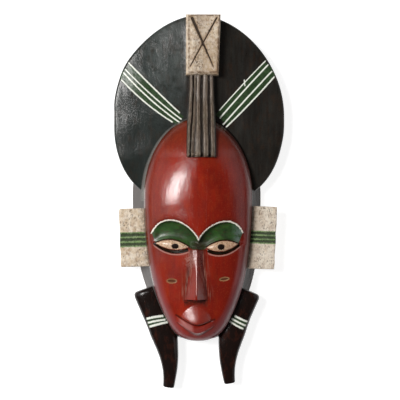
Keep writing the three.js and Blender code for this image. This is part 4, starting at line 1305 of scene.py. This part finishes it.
# %% Brown stain
brown = Finish("rubbed_brown_stain_on_wood")
grain = brown.mottle(2.4, 0.35, 0.7, stretch=(1, 0.06, 1), detail=4, seed=9)
cloud = brown.mottle(16, 0.35, 0.65, stretch=(1, 0.5, 1), seed=15)
grit = brown.mottle(1.4, 0.5, 0.7, detail=3, seed=49)
stain = brown.coats(
    "#594939",
    ("#403023", 1, cloud),
    ("#80705f", 0.45, grain),
    ("#454a33", 0.4, brown.mottle(10, 0.5, 0.7, seed=57)),
    # painted highlight along the shoulders of the ridges
    ("#a39384", 0.7, brown.span("flute", 0.01, 0.08), grain),
    ("#1c140d", 0.94, brown.span("flute", 0.14, 0.42)),
    ("#2c2017", 0.4, grit),
)
brown.fill(brown.shader, {"Base Color": stain, "Roughness": 0.36, "IOR": 1.5})
brown.relief((grain, 0.3), (grit, 0.12))
brown.tell("stain and relief")

# %% [markdown]
# ## Raw wood of the hollow
# Nobody paints the inside. It is bare light hardwood, a little dirty, with the long grain of the block and
# the marks of the gouge.

# %% Raw wood
raw = Finish("bare_gouged_hardwood")
grain = raw.mottle(3.5, 0.35, 0.68, stretch=(1, 0.05, 0.6), detail=5, seed=21)
pores = raw.mottle(1.5, 0.58, 0.68, stretch=(1, 0.12, 1), detail=2, seed=33)
wood = raw.coats(
    "#b08a5e",
    ("#8f6a44", 1, raw.mottle(18, 0.4, 0.6, stretch=(1, 0.08, 0.6), seed=27)),
    ("#c8a678", 0.5, grain),
    ("#5d4229", 0.6, pores),
    ("#6b543c", 0.5, raw.mottle(30, 0.45, 0.75, seed=35)),
)
raw.fill(raw.shader, {"Base Color": wood, "Roughness": 0.78, "IOR": 1.45})
raw.relief((grain, 0.3), (pores, -0.2))
raw.tell("grain and relief")

# %% Put the materials on the mask
slots = carved_mask.data.materials
for number, finish in enumerate((red, black, pale, brown, raw, wall)):
    if number < len(slots):
        slots[number] = finish.material
    else:
        slots.append(finish.material)
regions = np.empty(len(carved_mask.data.polygons), int)
carved_mask.data.polygons.foreach_get("material_index", regions)
faces = np.bincount(regions, minlength=len(slots)).tolist()
print("faces of each paint:", dict(zip([material.name for material in slots], faces)))
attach(carved_mask, "root")
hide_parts("mask")

# %% [markdown]
# ## Floor, light and camera
# The mask lies on plain white card. A large soft lamp hangs above on the left, a weaker light comes from a
# window beside it, and a pale wall on the right gives the varnish something to reflect; the rest of the
# room is dim. The card itself glows, apart from an oval under the mask, so that it stays as white as paper
# in a studio, and the glow fades further out. The camera hangs straight above.

# %% Floor
FLOOR_HALF, FLOOR_DROP = 2.5, 0.0002  # metres: half its side, and how far it lies below the mask
GLOW_HALF = (0.08, 0.17)  # metres: half the size of the oval under the mask that doesn't glow
floor_mesh = bpy.data.meshes.new("white_card")
corners = [(x * FLOOR_HALF, y * FLOOR_HALF, -FLOOR_DROP) for x, y in ((-1, -1), (1, -1), (1, 1), (-1, 1))]
floor_mesh.from_pydata(corners, [], [(0, 1, 2, 3)])
floor = put_in_scene("white_card", floor_mesh)
card = Finish("matt_white_card")
per_oval = (1 / GLOW_HALF[0], 1 / GLOW_HALF[1], 0)
under = card.add("Mapping", {0: card.add("TexCoord", out="Object"), "Scale": per_oval})
reach = card.add("VectorMath", {0: under}, "Value", operation="LENGTH")
glow = card.add("MapRange", {0: reach, 1: 0.85, 2: 1, 4: 0.84})
fade = card.add("MapRange", {0: reach, 1: 4, 2: 5.8, 3: 1, 4: 0.25})
card.fill(card.shader, {
    "Base Color": card.coats("#bcbcbc", ("#b8b8b7", 1, card.mottle(40, 0.3, 0.7, seed=2))),
    "Roughness": 0.9, "Specular IOR Level": 0.2,
    "Emission Color": linear("#ffffff"), "Emission Strength": card.overlap(glow, fade),
})
floor_mesh.materials.append(card.material)
card.tell("card with its glow")


# %% Light
def softbox(name, place_at, size, tint, watts):
    """A rectangular area lamp at a place, turned to face the mask."""
    lamp = bpy.data.lights.new(name, "AREA")
    lamp.shape, lamp.color, lamp.energy = "RECTANGLE", tint, watts
    lamp.size, lamp.size_y = size
    holder = put_in_scene(name, lamp)
    holder.location = place_at
    holder.rotation_euler = holder.location.to_track_quat("Z", "Y").to_euler()
    print(f"{name}: {watts} W, {holder.location.length:.2f} m from the mask")


ROOM_GREY = 0.09
softbox("overhead_softbox", (-1.36, 0.585, 2.65), (0.82, 0.9), (1, 0.985, 0.97), 80)
softbox("window_side_softbox", (-2.5, 0.5, 1.5), (2.2, 2.2), (0.93, 0.98, 1), 15)
softbox("pale_wall_right", (1.96, 0.25, 1.0), (2.2, 1.35), (1, 0.96, 0.98), 7)
room = bpy.data.worlds.new("dim_room")
room.use_nodes = True
room.node_tree.nodes["Background"].inputs["Color"].default_value = (*[ROOM_GREY] * 3, 1)
bpy.context.scene.world = room
bpy.context.scene.view_settings.view_transform = "Standard"

# %% Camera
camera_data = bpy.data.cameras.new("camera_above")
camera_data.sensor_width, camera_data.lens = 36, 112.5
camera = put_in_scene("camera_above", camera_data)
camera.location = (0.0013, 0.0014, 1.8)  # over the middle of the picture, which is a hair off the mask's
bpy.context.scene.camera = camera
print("the camera sees", round(camera.location.z * camera_data.sensor_width / camera_data.lens, 3), "m")

# %% [markdown]
# ## Finish
# The view layer is brought up to date.

# %% Finish
bpy.context.view_layer.update()
